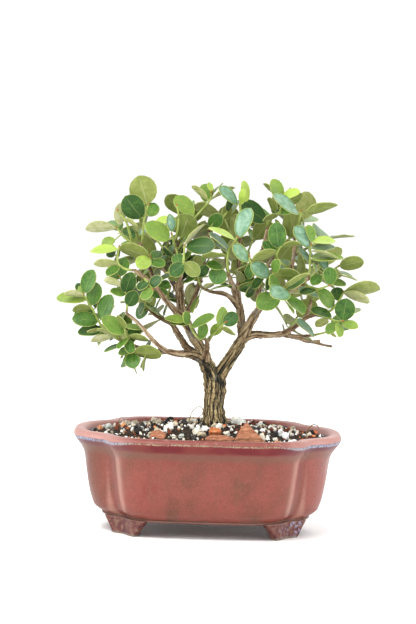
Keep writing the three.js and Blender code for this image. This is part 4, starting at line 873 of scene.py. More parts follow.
@dataclass(frozen=True)
class BladeFace:
    """The leathery upper face of a leaf, from dark green to the lime of a young leaf, with a painted bluish
    sheen.
    """

    roughness: float = 0.32
    rim_width: float = 0.5
    side_ribs: float = 13.0
    slant: float = 9.0

    def make(self) -> Finish:
        """The finished material."""
        paint = Paint("leaf_face", self.roughness, 0.17, LEAF_SHARE)
        tone = paint.plus(paint.own("tone"), paint.uneven(0.007, 4, 0.6), paint.uneven(0.0014, 3, 0.5))
        colour = paint.ramp(tone, (0.0, "33581f"), (0.14, "4b752b"), (0.3, "608b36"), (0.5, "7c9e46"),
                            (0.7, "93af4d"), (0.9, "aac752"), (1.0, "bcd85f"))
        edge = paint.own("rim")
        # Painted sheen: a bluish-white reflection painted over the colour, fainter toward the leaf's rim
        painted_sheen = paint.times(paint.own("painted_sheen"), paint.span(edge, 0.5, 2.8, 0.25, 1.0), 0.9)
        sheen_colour = paint.ramp(paint.grains(0.004, 3), (0.35, "739f85"), (0.65, "a9cdb8"))
        colour = paint.blend(painted_sheen, colour, sheen_colour)
        across, along = paint.on_blade()
        rib = paint.times(paint.span(across, 0.035, 0.012), paint.span(along, 0.97, 0.75))
        slanted = paint.plus(paint.times(along, self.side_ribs), paint.times(across, -self.slant))
        veins = paint.span(paint.plain(paint.minus(paint.sums("FRACT", slanted), 0.5)), 0.07, 0.0)
        for lines, most in ((rib, 0.3), (veins, 0.14)):
            colour = paint.blend(paint.times(lines, most), colour, "9db56b")
        colour = paint.over(colour, "c9cd78", edge, self.rim_width, self.rim_width * 0.35, 0.7)
        colour = paint.over(colour, "6b6a3a", paint.grains(0.0022, 3), 0.68, 0.78, 0.5)
        raised = paint.plus(rib, paint.times(veins, 0.35))
        return paint.finish(colour, (raised, 0.0002, 0.6), (paint.grains(0.0016, 2), 0.0001, 0.5))


@dataclass(frozen=True)
class BladeBack:
    """The dull underside of a leaf, olive to pale."""

    roughness: float = 0.55

    def make(self) -> Finish:
        """The finished material."""
        paint = Paint("leaf_back", self.roughness, 0.15, LEAF_SHARE)
        pale = paint.plus(paint.own("pale"), paint.uneven(0.004, 5, 0.9))
        colour = paint.ramp(pale, (0.0, "74873f"), (0.35, "929f52"), (0.65, "b0b66f"), (0.9, "cdd096"),
                            (1.0, "dcddac"))
        across, along = paint.on_blade()
        rib = paint.times(paint.span(across, 0.04, 0.015), paint.span(along, 0.97, 0.7))
        colour = paint.blend(paint.times(rib, 0.45), colour, "bfc189")
        colour = paint.over(colour, "8a7f4f", paint.grains(0.0011, 2), 0.6, 0.75, 0.35)
        colour = paint.over(colour, "c7cb90", paint.own("rim"), 0.55, 0.2, 0.6)
        return paint.finish(colour, (rib, 0.0003, 0.7), (paint.grains(0.0012, 3), 0.00012, 0.6))


@dataclass(frozen=True)
class GreenShoot:
    """Yellow-green shoots and stalks, brown where they leave the wood, with orange-brown buds."""

    roughness: float = 0.5

    def make(self) -> Finish:
        """The finished material."""
        paint = Paint("shoot", self.roughness, 0.25, LEAF_SHARE)
        colour = paint.ramp(paint.grains(0.005, 3), (0.3, "8a9a45"), (0.5, "a3b45a"), (0.7, "bcc672"))
        colour = paint.over(colour, "84704e", paint.own("woody"), 0.1, 0.9)
        colour = paint.blend(paint.own("bud"), colour, "a5743f")
        return paint.finish(colour, (paint.grains(0.0009, 3), 0.00015, 0.7))


@dataclass(frozen=True)
class Bark:
    """Corky bark: tan ridges, green-black furrows, grey patches and a hint of lichen."""

    roughness: float = 0.85

    def make(self) -> Finish:
        """The finished material."""
        paint = Paint("bark", self.roughness, 0.25)
        height = paint.own("furrow")
        fibres = paint.grains(1.0, 4, paint.stretched(paint.own("grain", "Vector"), 1.1, 1.1, 0.16))
        level = paint.plus(height, paint.times(paint.minus(fibres, 0.5), 0.75))
        old = paint.ramp(level, (0.2, "20201b"), (0.42, "4a4332"), (0.6, "7b6d4e"), (0.78, "b3986a"),
                         (1.0, "dcc998"))
        young = paint.ramp(level, (0.15, "5f4a36"), (0.42, "957a5c"), (0.7, "b99c78"), (0.95, "d2bf9f"))
        colour = paint.over(young, old, paint.own("age"), 0.15, 0.6)
        colour = paint.over(colour, "b4b0a4", paint.grains(0.011, 3), 0.58, 0.7, 0.5)
        cool = paint.grains(0.009, 3, paint.stretched(paint.place, 1, 1, 0.4))
        shadow = paint.times(paint.span(cool, 0.45, 0.6, 0, 0.75), paint.own("shaded"))
        colour = paint.blend(shadow, colour, "30353f")
        lichen = paint.times(paint.span(paint.grains(0.0035, 3), 0.6, 0.72, 0, 0.45), height)
        colour = paint.blend(lichen, colour, "8f8f4c")
        return paint.finish(colour, (fibres, 0.0007, 0.8), (paint.grains(0.0008, 3), 0.0002, 0.6))


@dataclass(frozen=True)
class Stone:
    """Loose stones of one kind, each with its own tone."""

    name: str
    dark: str
    middle: str
    light: str
    pore: float
    roughness: float = 0.85

    def make(self) -> Finish:
        """The finished material."""
        paint = Paint(self.name, self.roughness, 0.3, STONE_SHARE)
        level = paint.plus(paint.own("tone"), paint.uneven(0.0022, 4, 0.7))
        colour = paint.ramp(level, (0.05, self.dark), (0.5, self.middle), (0.95, self.light))
        pores = paint.span(paint.cells(0.0007), 0.12, 0.5)
        colour = paint.over(colour, self.dark, pores, 0.4, 0.0, 0.5)
        return paint.finish(colour, (pores, self.pore, 0.9), (paint.grains(0.0012, 4), 0.0004, 0.8))


@dataclass(frozen=True)
class WoodChip:
    """Red-brown pine bark or fired clay, by its three tones."""

    name: str
    dark: str
    middle: str
    light: str
    grain: float
    roughness: float = 0.8

    def make(self) -> Finish:
        """The finished material."""
        paint = Paint(self.name, self.roughness, 0.3, CHIP_SHARE)
        fibres = paint.grains(0.0016, 4, paint.stretched(paint.place, self.grain, 1, 1))
        colour = paint.ramp(fibres, (0.32, self.dark), (0.5, self.middle), (0.7, self.light))
        colour = paint.over(colour, self.light, paint.grains(0.005, 3), 0.55, 0.75, 0.4)
        return paint.finish(colour, (fibres, 0.0004, 0.6))


@dataclass(frozen=True)
class Dull:
    """A dull stuff whose tone and relief follow its grains."""

    name: str
    roughness: float
    specular: float
    grain: tuple[float, float]
    stops: tuple[tuple[float, str], ...]
    relief: tuple[float, float]
    finer: tuple[float, float] | None = None

    def make(self) -> Finish:
        """The finished material."""
        paint = Paint(self.name, self.roughness, self.specular)
        grains = paint.grains(*self.grain)
        height = paint.grains(*self.finer) if self.finer else grains
        return paint.finish(paint.ramp(grains, *self.stops), (height, *self.relief))


# Damp potting mix, the plastic mesh over the drain holes, and dry roots
LOAM = Dull("potting_mix", 0.95, 0.2, (0.0024, 5), ((0.3, "1d1814"), (0.5, "3a2f27"), (0.66, "5c493a"),
                                                    (0.8, "86705b")), (0.0016, 1.0))
NETTING = Dull("screen_mesh", 0.55, 0.4, (0.004, 4), ((0.35, "1b1d20"), (0.7, "3a3733")), (0.0002, 0.5))
DRY = Dull("dry_bits", 0.8, 0.3, (0.003, 3), ((0.35, "6f5436"), (0.65, "a5875c")), (0.0001, 0.6), (0.0006, 3))


@dataclass(frozen=True)
class Paper:
    """The pale studio floor."""

    roughness: float = 0.7
    colour: tuple[float, float, float, float] = (0.97, 0.97, 0.965, 1)

    def make(self) -> Finish:
        """The finished material."""
        paint = Paint("floor", self.roughness, 0.2)
        paint.skin.inputs["Base Color"].default_value = self.colour
        return paint.material


def pot_middle() -> tuple[float, float]:
    """Where the middle of the pot stands in the row's frame, in millimetres."""
    low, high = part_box("pot")
    return (low[0] + high[0]) / 2 / MM, (low[1] + high[1]) / 2 / MM


MIDDLE = pot_middle()


def only(*pieces: Piece) -> None:
    """Selects these pieces alone, the first one active, so that an operator meets no others."""
    bpy.ops.object.select_all(action="DESELECT")
    for piece in pieces:
        piece.select_set(True)
    if pieces:
        bpy.context.view_layer.objects.active = pieces[0]


def added(operator: Callable, **settings: object) -> Piece:
    """Adds a plain shape with one of Blender's operators and returns it."""
    only()
    operator(**settings)
    return bpy.context.view_layer.objects.active


def corners_of(piece: Piece, what: str = "co") -> np.ndarray:
    """The places of the mesh's corners, one a row, or their normals."""
    values = np.empty(len(piece.data.vertices) * 3)
    piece.data.vertices.foreach_get(what, values)
    return values.reshape(-1, 3)


def set_corners(piece: Piece, places: np.ndarray) -> None:
    """Moves the mesh's corners."""
    piece.data.vertices.foreach_set("co", np.asarray(places, float).ravel())
    piece.data.update()


def give(piece: Piece, name: str, values: np.ndarray | float) -> None:
    """Keeps one number, or three, for each corner of the mesh under a name.

    Args:
        piece: The piece.
        name: The attribute's name.
        values: One value or one row a corner, or one value for all.
    """
    values = np.asarray(values, float)
    if values.ndim == 0:
        values = np.full(len(piece.data.vertices), values)
    kind, key = ("FLOAT_VECTOR", "vector") if values.ndim == 2 else ("FLOAT", "value")
    made = piece.data.attributes.get(name) or piece.data.attributes.new(name, kind, "POINT")
    made.data.foreach_set(key, values.ravel())


def apply(piece: Piece, kind: str, **settings: object) -> None:
    """Adds a modifier to a piece and applies it."""
    only(piece)
    made = piece.modifiers.new(kind.lower(), kind)
    for key, value in settings.items():
        setattr(made, key, value)
    bpy.ops.object.modifier_apply(modifier=made.name)


def joined(*pieces: Piece) -> Piece:
    """Makes one piece of several and returns it."""
    only(*pieces)
    bpy.ops.object.join()
    return bpy.context.view_layer.objects.active


def disc(sides: int) -> tuple[Piece, np.ndarray]:
    """A flat disc with a number of corners, and the direction of each in radians."""
    made = added(bpy.ops.mesh.primitive_circle_add, vertices=sides, radius=1, fill_type="NGON")
    x, y, _ = corners_of(made).T
    return made, np.arctan2(y, x)


def draw_up(*steps: tuple) -> None:
    """Draws the active flat piece up step by step into a closed solid.

    Args:
        steps: The rise of each step, and where the outline changes, its growth and the place it grows about.
    """
    bpy.ops.object.mode_set(mode="EDIT")
    bpy.ops.mesh.select_all(action="SELECT")
    for rise, *growth in steps:
        bpy.ops.mesh.extrude_region_move(TRANSFORM_OT_translate={"value": (0, 0, rise)})
        if growth:
            bpy.ops.transform.resize(value=growth[0], center_override=growth[1])
    bpy.ops.mesh.select_all(action="SELECT")
    bpy.ops.mesh.normals_make_consistent(inside=False)
    bpy.ops.object.mode_set(mode="OBJECT")


def with_corners(piece: Piece, chosen: np.ndarray, operator: Callable, **settings: object) -> None:
    """Runs an edit mode operator on some corners of the active piece."""
    bpy.ops.object.mode_set(mode="EDIT")
    bpy.ops.mesh.select_all(action="DESELECT")
    bpy.ops.object.mode_set(mode="OBJECT")
    piece.data.vertices.foreach_set("select", chosen)
    bpy.ops.object.mode_set(mode="EDIT")
    operator(**settings)
    bpy.ops.object.mode_set(mode="OBJECT")


def settle(piece: Piece, name: str, finishes: list[Finish], stands_for: tuple[str, ...] = (),
           smooth: float = 40.0) -> None:
    """Names a finished piece, brings it to metres in the row's frame and dresses it.

    Args:
        piece: The piece, in millimetres about the middle of the pot.
        name: Its name.
        finishes: Its materials in the order of its slots.
        stands_for: Solids that it takes the place of.
        smooth: Angle in degrees under which edges are shaded smooth.
    """
    shift = Matrix.Translation((MIDDLE[0] * MM, MIDDLE[1] * MM, 0))
    piece.data.transform(shift @ Matrix.Scale(MM, 4))
    piece.name = name
    piece.data.name = name
    numbers = np.zeros(len(piece.data.polygons), dtype=np.int32)
    piece.data.polygons.foreach_get("material_index", numbers)
    piece.data.materials.clear()
    for finish in finishes:
        piece.data.materials.append(finish)
    piece.data.polygons.foreach_set("material_index", np.minimum(numbers, len(finishes) - 1))
    only(piece)
    bpy.ops.object.shade_smooth_by_angle(angle=math.radians(smooth))
    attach(piece, "root")
    if stands_for:
        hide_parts(*stands_for)
    log.info("%s: %d faces", name, len(piece.data.polygons))


def threads(name: str, runs: list[tuple[np.ndarray, np.ndarray]], detail: int = 1) -> Piece:
    """Round strands along lines of points, as one mesh.

    Args:
        name: The piece's name.
        runs: Points and radii of each strand.
        detail: Roundness of the strands.

    Returns:
        The strands.
    """
    only()
    curve = bpy.data.curves.new(name, "CURVE")
    curve.dimensions = "3D"
    curve.bevel_depth = 1.0
    curve.bevel_resolution = detail
    curve.use_fill_caps = True
    for points, radii in runs:
        strand = curve.splines.new("POLY")
        strand.points.add(len(points) - 1)
        strand.points.foreach_set("co", np.column_stack([points, np.ones(len(points))]).ravel())
        strand.points.foreach_set("radius", np.asarray(radii, float))
    piece = bpy.data.objects.new(name, curve)
    bpy.context.collection.objects.link(piece)
    only(piece)
    bpy.ops.object.convert(target="MESH")
    return bpy.context.view_layer.objects.active


def merged(name: str, copies: list[tuple[np.ndarray, np.ndarray]]) -> Piece:
    """One mesh of many copies, given by their corners and their faces, which all have as many corners."""
    starts = np.cumsum([0] + [len(places) for places, _ in copies[:-1]])
    places = np.vstack([places for places, _ in copies])
    faces = np.vstack([faces + start for (_, faces), start in zip(copies, starts)])
    mesh = bpy.data.meshes.new(name)
    mesh.from_pydata(places.tolist(), [], faces.tolist())
    piece = bpy.data.objects.new(name, mesh)
    bpy.context.collection.objects.link(piece)
    return piece


def oval(angles: np.ndarray, half_width: float, half_depth: float, squareness: float) -> np.ndarray:
    """How far a squarish oval reaches in some directions, given in radians."""
    across = np.abs(np.cos(angles)) / half_width
    deep = np.abs(np.sin(angles)) / half_depth
    return (across**squareness + deep**squareness) ** (-1 / squareness)


def plan_reach(angles: np.ndarray) -> np.ndarray:
    """The pot's plan: two long lobes and two side lobes that meet in four upright notches.

    Args:
        angles: Directions in radians.

    Returns:
        Shares of the half width and half depth, one row a direction.
    """
    long = oval(angles, LONG_LOBE_HALF_WIDTH, POT_HALF_DEPTH, LONG_LOBE_SQUARENESS)
    side = oval(angles, POT_HALF_WIDTH, SIDE_LOBE_HALF_DEPTH, SIDE_LOBE_SQUARENESS)
    reach = side * (1 + (long / side) ** NOTCH_SHARPNESS) ** (1 / NOTCH_SHARPNESS)
    x, y = reach * np.cos(angles), reach * np.sin(angles)
    return np.stack([x / POT_HALF_WIDTH, y / POT_HALF_DEPTH], axis=-1)


def plan_ring(angles: np.ndarray, half_width: float, height: float) -> np.ndarray:
    """A ring of the plan at a half width and height."""
    x, y = plan_reach(angles).T
    return np.column_stack([x * half_width, y * (half_width - NARROWER), np.full(len(angles), height)])


def plan_share(points: np.ndarray, half_width: float) -> np.ndarray:
    """How far out from the pot's middle some points lie, 1 on the ring of that half width."""
    x = points[:, 0] / half_width
    y = points[:, 1] / (half_width - NARROWER)
    shares = plan_reach(np.linspace(-math.pi, math.pi, 721))
    ways = np.unwrap(np.arctan2(shares[:, 1], shares[:, 0]))
    reach = np.interp(np.arctan2(y, x), ways, np.hypot(shares[:, 0], shares[:, 1]))
    return np.hypot(x, y) / reach


def mound_height(share: np.ndarray | float) -> np.ndarray | float:
    """Height of the top dressing from the trunk, share 0, to the wall, share 1."""
    return SOIL_EDGE_HEIGHT + SOIL_MOUND * (1 - share**2)


@dataclass
class Pot:
    """The glazed pot: lobed body, wide lip, a bead round its bottom edge and four ogee feet."""

    directions: int = 320
    # Half width and height of each ring, up the outside and down the inside
    outside: tuple[tuple[float, float], ...] = (
        (76.6, FOOT_HEIGHT), (77.7, 11.8), (78.6, 12.5), (78.9, 13.3), (78.2, 13.9), (79.4, 14.7),
        (81.6, 16.1), (83.6, 17.6), (85.2, 19.2), (85.9, 21), (87, 24), (88.2, 28), (89.3, 33), (90.4, 39.5),
        (91.4, 46), (92.2, 52), (92.9, 57), (93.9, 60.4), (95.6, 63.6), (97.7, 66.4), (99.7, 68.9),
        (101, 70.9), (POT_HALF_WIDTH, 72.3), (101.4, 73.6), (100.8, 75), (99.8, 76.2), (98.4, 76.9),
        (96.9, POT_HEIGHT),
    )
    inside: tuple[tuple[float, float], ...] = (
        (94.8, 76.8), (93.2, 76.2), (92.2, 75.3), (91.4, 73.8), (90.4, 71), (88.9, 67), (87.6, 60),
        (85.2, 42), (82.8, 24), (81, 19.6), (78, FLOOR_TOP),
    )
    # Half width, half depth and height of each ring of a foot
    foot: tuple[tuple[float, float, float], ...] = (
        (11.6, 10.2, 0), (12.1, 10.7, 0.5), (12.7, 11.3, 1.6), (13.4, 12, 3), (14.4, 13, 4.8),
        (15.6, 14.2, 6.8), (17.2, 15.8, 9), (19, 17.4, 11), (20.4, 18.6, 12.6),
    )
    foot_sides: int = 72
    foot_squareness: float = 3.4
    # The upright block that the feet are cut to: its half width, its lower end and its height
    block: tuple[float, float, float] = (80.4, -1.0, 21.0)
    # A ridge is where the wall reaches past its mean over some quarter degrees on each side, in full where
    # it does so by the second number
    ridge_steps: int = 28
    full_ridge: float = 1.6
    # Half width of the plan within which the wall begins to count as inside, and how soon it does in full
    inner_half_width: float = 91.5
    inner_rise: float = 14.0
    hole_sides: int = 32
    bit_length: float = 40.0

    def body(self) -> Piece:
        """The body, drawn up ring by ring from the underside over the lip to the floor inside."""
        rings = self.outside + self.inside
        pot, turns = disc(self.directions)
        set_corners(pot, plan_ring(turns, *rings[0]))
        draw_up(*(
            (height - last_height, (width / last_width, (width - NARROWER) / (last_width - NARROWER), 1),
             (0, 0, height))
            for (last_width, last_height), (width, height) in zip(rings, rings[1:])
        ))
        return pot

    def drill(self, pot: Piece) -> None:
        """Opens the two drain holes."""
        for side in (-1, 1):
            place = (side * DRAIN_HOLE_X, 0, FLOOR_TOP)
            bit = added(bpy.ops.mesh.primitive_cylinder_add, vertices=self.hole_sides,
                        radius=DRAIN_HOLE_RADIUS, depth=self.bit_length, location=place)
            apply(pot, "BOOLEAN", operation="DIFFERENCE", solver="EXACT", object=bit)
            bpy.data.objects.remove(bit)

    def one_foot(self, side_x: int, side_y: int, prism: Piece) -> Piece:
        """A foot: a squarish block drawn up in an ogee and cut to the pot's plan.

        Args:
            side_x: Side of the foot along the pot, -1 or 1.
            side_y: Side of the foot across the pot, -1 or 1.
            prism: The block of the pot's plan.

        Returns:
            The foot.
        """
        middle = (side_x * FOOT_PLACE[0], side_y * FOOT_PLACE[1])
        foot, turns = disc(self.foot_sides)
        reach = oval(turns, 1, 1, self.foot_squareness)
        half_width, half_depth, height = self.foot[0]
        set_corners(foot, np.column_stack([
            middle[0] + half_width * reach * np.cos(turns), middle[1] + half_depth * reach * np.sin(turns),
            np.full(len(turns), height),
        ]))
        draw_up(*(
            (ring[2] - last[2], (ring[0] / last[0], ring[1] / last[1], 1), (*middle, ring[2]))
            for last, ring in zip(self.foot, self.foot[1:])
        ))
        apply(foot, "BOOLEAN", operation="INTERSECT", solver="EXACT", object=prism)
        return foot

    def feet(self) -> list[Piece]:
        """The four feet."""
        half_width, low, height = self.block
        prism, turns = disc(self.directions // 2)
        set_corners(prism, plan_ring(turns, half_width, low))
        draw_up((height,))
        feet = [self.one_foot(side_x, side_y, prism) for side_x in (-1, 1) for side_y in (-1, 1)]
        bpy.data.objects.remove(prism)
        return feet

    def mark(self, pot: Piece) -> None:
        """Notes where the wall stands proud or falls in, what lies inside and how far along a point is."""
        places = corners_of(pot)
        fine = np.linspace(-math.pi, math.pi, 1441)
        reach = np.linalg.norm(plan_reach(fine) * [POT_HALF_WIDTH, POT_HALF_DEPTH], axis=1)
        steps = self.ridge_steps
        around = np.concatenate([reach[-steps - 1:-1], reach, reach[1:steps + 1]])
        mean = np.convolve(around, np.ones(2 * steps + 1) / (2 * steps + 1), mode="valid")
        proud = np.clip((reach - mean) / self.full_ridge, -1, 1)
        give(pot, "ridge", np.interp(np.arctan2(places[:, 1], places[:, 0]), fine, proud))
        outward = np.einsum("ij,ij->i", corners_of(pot, "normal")[:, :2], places[:, :2])
        within = (outward < 0) & (places[:, 2] > FLOOR_TOP - 1)
        depth = np.clip((1 - plan_share(places, self.inner_half_width)) * self.inner_rise, 0, 1)
        give(pot, "inside", depth * within)
        give(pot, "aside", places[:, 0] * MM)

    def build(self, glaze: Finish) -> None:
        """Makes and dresses the pot."""
        pot = self.body()
        self.drill(pot)
        pot = joined(pot, *self.feet())
        self.mark(pot)
        settle(pot, "glazed_pot", [glaze], ("pot",), 32.0)


@dataclass
class Chip:
    """A flat bit of bark or fired clay on the stones, at the place and tilt of its solid."""

    solid: str
    slot: str
    outline: tuple[tuple[float, float], ...]
    thickness: float
    at: tuple[float, float, float]
    tilt: float
    turn: float
    rough: float = 0.45
    voxel: float = 0.42
    # A stone hides the chip from this far beside it, before it and behind it
    beside: float = 10.0
    before: float = 13.0
    behind: float = 3.0

    def build(self, finish: Finish) -> None:
        """Makes and dresses the chip."""
        chip, turns = disc(len(self.outline))
        spots = np.array(self.outline)
        flat = np.full((len(spots), 3), -self.thickness / 2)
        flat[np.argsort(turns), :2] = spots[np.argsort(np.arctan2(spots[:, 1], spots[:, 0]))]
        set_corners(chip, flat)
        draw_up((self.thickness,))
        apply(chip, "REMESH", mode="VOXEL", voxel_size=self.voxel)
        places = corners_of(chip)
        lumps = np.array([noise.fractal(Vector((x / 7, y / 1.6, z / 1.6 + self.turn)), 1.0, 2.0, 4)
                          for x, y, z in places])
        set_corners(chip, places + corners_of(chip, "normal") * (lumps * self.rough)[:, None])
        tilt = Matrix.Rotation(math.radians(self.tilt), 4, "X")
        turn = Matrix.Rotation(math.radians(self.turn), 4, "Z")
        chip.data.transform(Matrix.Translation(self.at) @ turn @ tilt)
        settle(chip, f"loose_{self.solid}", [finish], (self.solid,), 60.0)

    def is_hidden_by(self, x: float, y: float) -> bool:
        """True where a stone at a place would stand before the chip, as seen from the front."""
        return abs(x - self.at[0]) < self.beside and -self.before < y - self.at[1] < self.behind


CHIPS = (
    Chip("bark_chip_large", "bark_chips", ((-13, -6.5), (14, -6.5), (5, 3.5), (-1.5, 11.5), (-7, 4)), 2.6,
         (30.5, -50, 78.2), 58, 6),
    Chip("bark_chip_flat", "bark_chips", ((-11, -3), (-4, -5), (9, -3.5), (11, 1), (2, 4.5), (-8, 3)), 2.2,
         (9, -54, 76.8), 16, -4),
    Chip("bark_chip_left", "bark_chips", ((-6, -4), (5, -4.5), (6, 1), (0, 5), (-5, 3)), 2.2,
         (-37, -47, 77.2), 42, -10),
    Chip("clay_stone", "fired_clay_stone", ((-4, -3), (3.5, -3.5), (5, 1), (1, 4), (-3.5, 3)), 4.2,
         (5, -40, 79.6), 24, 12, 0.7),
)


@dataclass(frozen=True)
class Kind:
    """A kind of loose stone: its finish, its share of the stones and its size beside the others."""

    finish: Stone
    share: float
    grown: float


KINDS = (
    Kind(Stone("pumice", "bfb196", "efe7d4", "ffffff", 0.0004), 0.42, 1.1),
    Kind(Stone("grey_stone", "9a9f98", "cfd4cc", "f4f7f0", 0.0003), 0.13, 1.0),
    Kind(Stone("lava", "1b1b1e", "34322f", "5f574e", 0.0006), 0.25, 1.0),
    Kind(Stone("red_lava", "4a2519", "7f4630", "ad7050", 0.0005), 0.14, 0.9),
    Kind(Stone("orange_clay", "9c4822", "d07441", "eaa577", 0.0003), 0.06, 0.8),
)


@dataclass
class Bed:
    """Damp potting mix under loose stones of several kinds."""

    # The skin of the mix: its size before it is cut to the pot, how deep it lies and how rough it is, and the
    # half width of the pot's inside there
    width: float = 190.0
    depth: float = 140.0
    cell: float = 1.3
    sunk: float = 0.9
    rough: float = 1.5
    thickness: float = 1.4
    mix_ends: float = 91.0
    # The stones: their number and radii, the noise above which the mix is bare of all but the smallest, the
    # half width and half depth that they are drawn in, the half width that they keep within, and the number
    # of different shapes
    stones: int = 820
    least: float = 0.9
    most: float = 3.9
    bare: float = 0.13
    field: tuple[float, float] = (90.0, 65.0)
    stones_end: float = 90.6
    masters: int = 6

    def ground(self) -> Piece:
        """The rough dark skin of the mix, which runs into the wall and the trunk."""
        ground = added(bpy.ops.mesh.primitive_grid_add, x_subdivisions=int(self.width / self.cell),
                       y_subdivisions=int(self.depth / self.cell), size=1)
        places = corners_of(ground) * [self.width, self.depth, 0]
        share = plan_share(places, self.mix_ends)
        rough = np.array([noise.fractal(Vector(place) / 4, 0.8, 2.0, 4) for place in places])
        places[:, 2] = mound_height(np.minimum(share, 1.05)) - self.sunk + self.rough * rough
        set_corners(ground, places)
        with_corners(ground, share > 1.03, bpy.ops.mesh.delete, type="VERT")
        apply(ground, "SOLIDIFY", thickness=self.thickness, offset=-1)
        return ground

    def master(self, seed: int) -> tuple[np.ndarray, np.ndarray]:
        """One angular stone of about radius 1, as corners and three-cornered faces."""
        stone = added(bpy.ops.mesh.primitive_ico_sphere_add, subdivisions=3, radius=1)
        places = corners_of(stone)
        away = Vector((seed * 7.1, 0, 0))
        bumps = np.array([noise.noise(Vector(place) * 1.3 + away) for place in places])
        places = places * (1 + 0.5 * bumps)[:, None]
        for cut in range(9):
            way = unit(np.array([
                math.sin(seed + cut * 2.1), math.cos(seed * 1.7 + cut), math.sin(cut * 1.3 + seed),
            ]))
            places -= np.maximum(places @ way - 0.62, 0)[:, None] * way
        crumbs = np.array([noise.noise(Vector(place) * 3.6 + away) for place in places])
        places = places * (1 + 0.22 * crumbs)[:, None]
        faces = np.array([list(face.vertices) for face in stone.data.polygons])
        bpy.data.objects.remove(stone)
        return places, faces

    def suits(self, x: float, y: float, size: float, share: float) -> bool:
        """True where a stone of a size may lie: off the trunk and the wall, and a large one off bare mix."""
        bare = noise.noise(Vector((x / 13, y / 10, 9.1))) > self.bare
        if size > self.least * 1.6 and (bare or any(chip.is_hidden_by(x, y) for chip in CHIPS)):
            return False
        trunk = TRUNK_HOLE_RADIUS - 0.5 + size * 0.5
        return share <= 1 - size / 110 and math.hypot(x - TRUNK_X, y) >= trunk

    def seats(self) -> list[tuple[np.ndarray, float, int]]:
        """Seeded places, sizes and kinds of the loose stones, which hardly pass into each other."""
        draw = Draws(SEED + 3)
        edges = np.cumsum([kind.share for kind in KINDS])
        placed = []
        middles = np.empty((0, 3))
        sizes = np.empty(0)
        for _ in range(self.stones * 6):
            if len(placed) >= self.stones:
                break
            x, y = ((draw.next() * 2 - 1) * half for half in self.field)
            size = self.least + (self.most - self.least) * draw.next() ** 2.3
            pick = draw.next()
            lift = draw.next()
            share = float(plan_share(np.array([[x, y, 0.0]]), self.stones_end)[0])
            if not self.suits(x, y, size, share):
                continue
            patch = noise.noise(Vector((x / 16, y / 16, 4.2)))
            kind = int(np.searchsorted(edges, min(max(pick + patch * 0.55, 0), 0.999 * edges[-1])))
            middle = np.array([x, y, float(mound_height(share)) - 0.35 + size * (0.1 + 0.35 * lift)])
            away = np.linalg.norm((middles - middle) * [1, 1, 1.2], axis=1)
            if (away < 0.72 * (sizes + size)).any():
                continue
            placed.append((middle, size, kind))
            middles = np.vstack([middles, middle])
            sizes = np.append(sizes, size)
        return placed

    def scatter(self) -> None:
        """Makes and dresses the loose stones, one mesh a kind."""
        masters = tuple(self.master(seed) for seed in range(self.masters))
        draw = Draws(SEED + 4)
        heaps = [[] for _ in KINDS]
        for middle, size, number in self.seats():
            places, faces = draw.one_of(masters)
            spread = np.array([0.85 + 0.5 * draw.next(), 0.75 + 0.4 * draw.next(), 0.6 + 0.35 * draw.next()])
            turn = Quaternion([draw.offset() for _ in range(4)])
            matrix = np.array(turn.normalized().to_matrix())
            grown = (places * spread * size * KINDS[number].grown) @ matrix.T + middle
            heaps[number].append((grown, faces, draw.next()))
        for kind, heap in zip(KINDS, heaps):
            name = f"{kind.finish.name}_stones"
            piece = merged(name, [(grown, faces) for grown, faces, _ in heap])
            give(piece, "tone", np.concatenate([np.full(len(grown), tone) for grown, _, tone in heap]))
            settle(piece, name, [kind.finish.make()], (), 22.0)

    def build(self, loam: Finish) -> None:
        """Makes and dresses the bed."""
        settle(self.ground(), "bed_surface", [loam], ("gravel",), 50.0)
        self.scatter()


@dataclass
class Litter:
    """Fine roots that stand out of the stones in loops, and a dry stem end."""

    runs: tuple[tuple[float, tuple[tuple[float, float, float], ...]], ...] = (
        (0.34, ((-13, -12, 80), (-14, -12.5, 86), (-11, -13, 93), (-6, -13, 95.5), (-4, -13, 91),
                (-7.5, -13, 87), (-9, -13, 83), (-6, -13, 80))),
        (0.3, ((-67, 2, 76), (-68, 2, 80), (-66.5, 1.5, 83.5), (-64, 1.5, 83), (-64, 1.5, 80))),
        (0.5, ((74, -8, 76), (76, -8.5, 80), (79, -9, 83.5), (82.5, -9, 83), (84, -9, 80.5))),
        (0.3, ((20, -58, 76), (28, -60, 78), (36, -59, 77.5), (44, -57, 77))),
        (0.3, ((-30, -56, 76.5), (-22, -60, 78.5), (-14, -59, 76.5))),
    )

    def build(self, dry: Finish) -> None:
        """Makes and dresses the strands."""
        runs = []
        for radius, points in self.runs:
            places, radii = SmoothLine(points, np.full(len(points), radius)).evenly(30)
            runs.append((places, radii * np.linspace(1.15, 0.7, len(radii))))
        settle(threads("fine_roots", runs), "fine_roots", [dry])


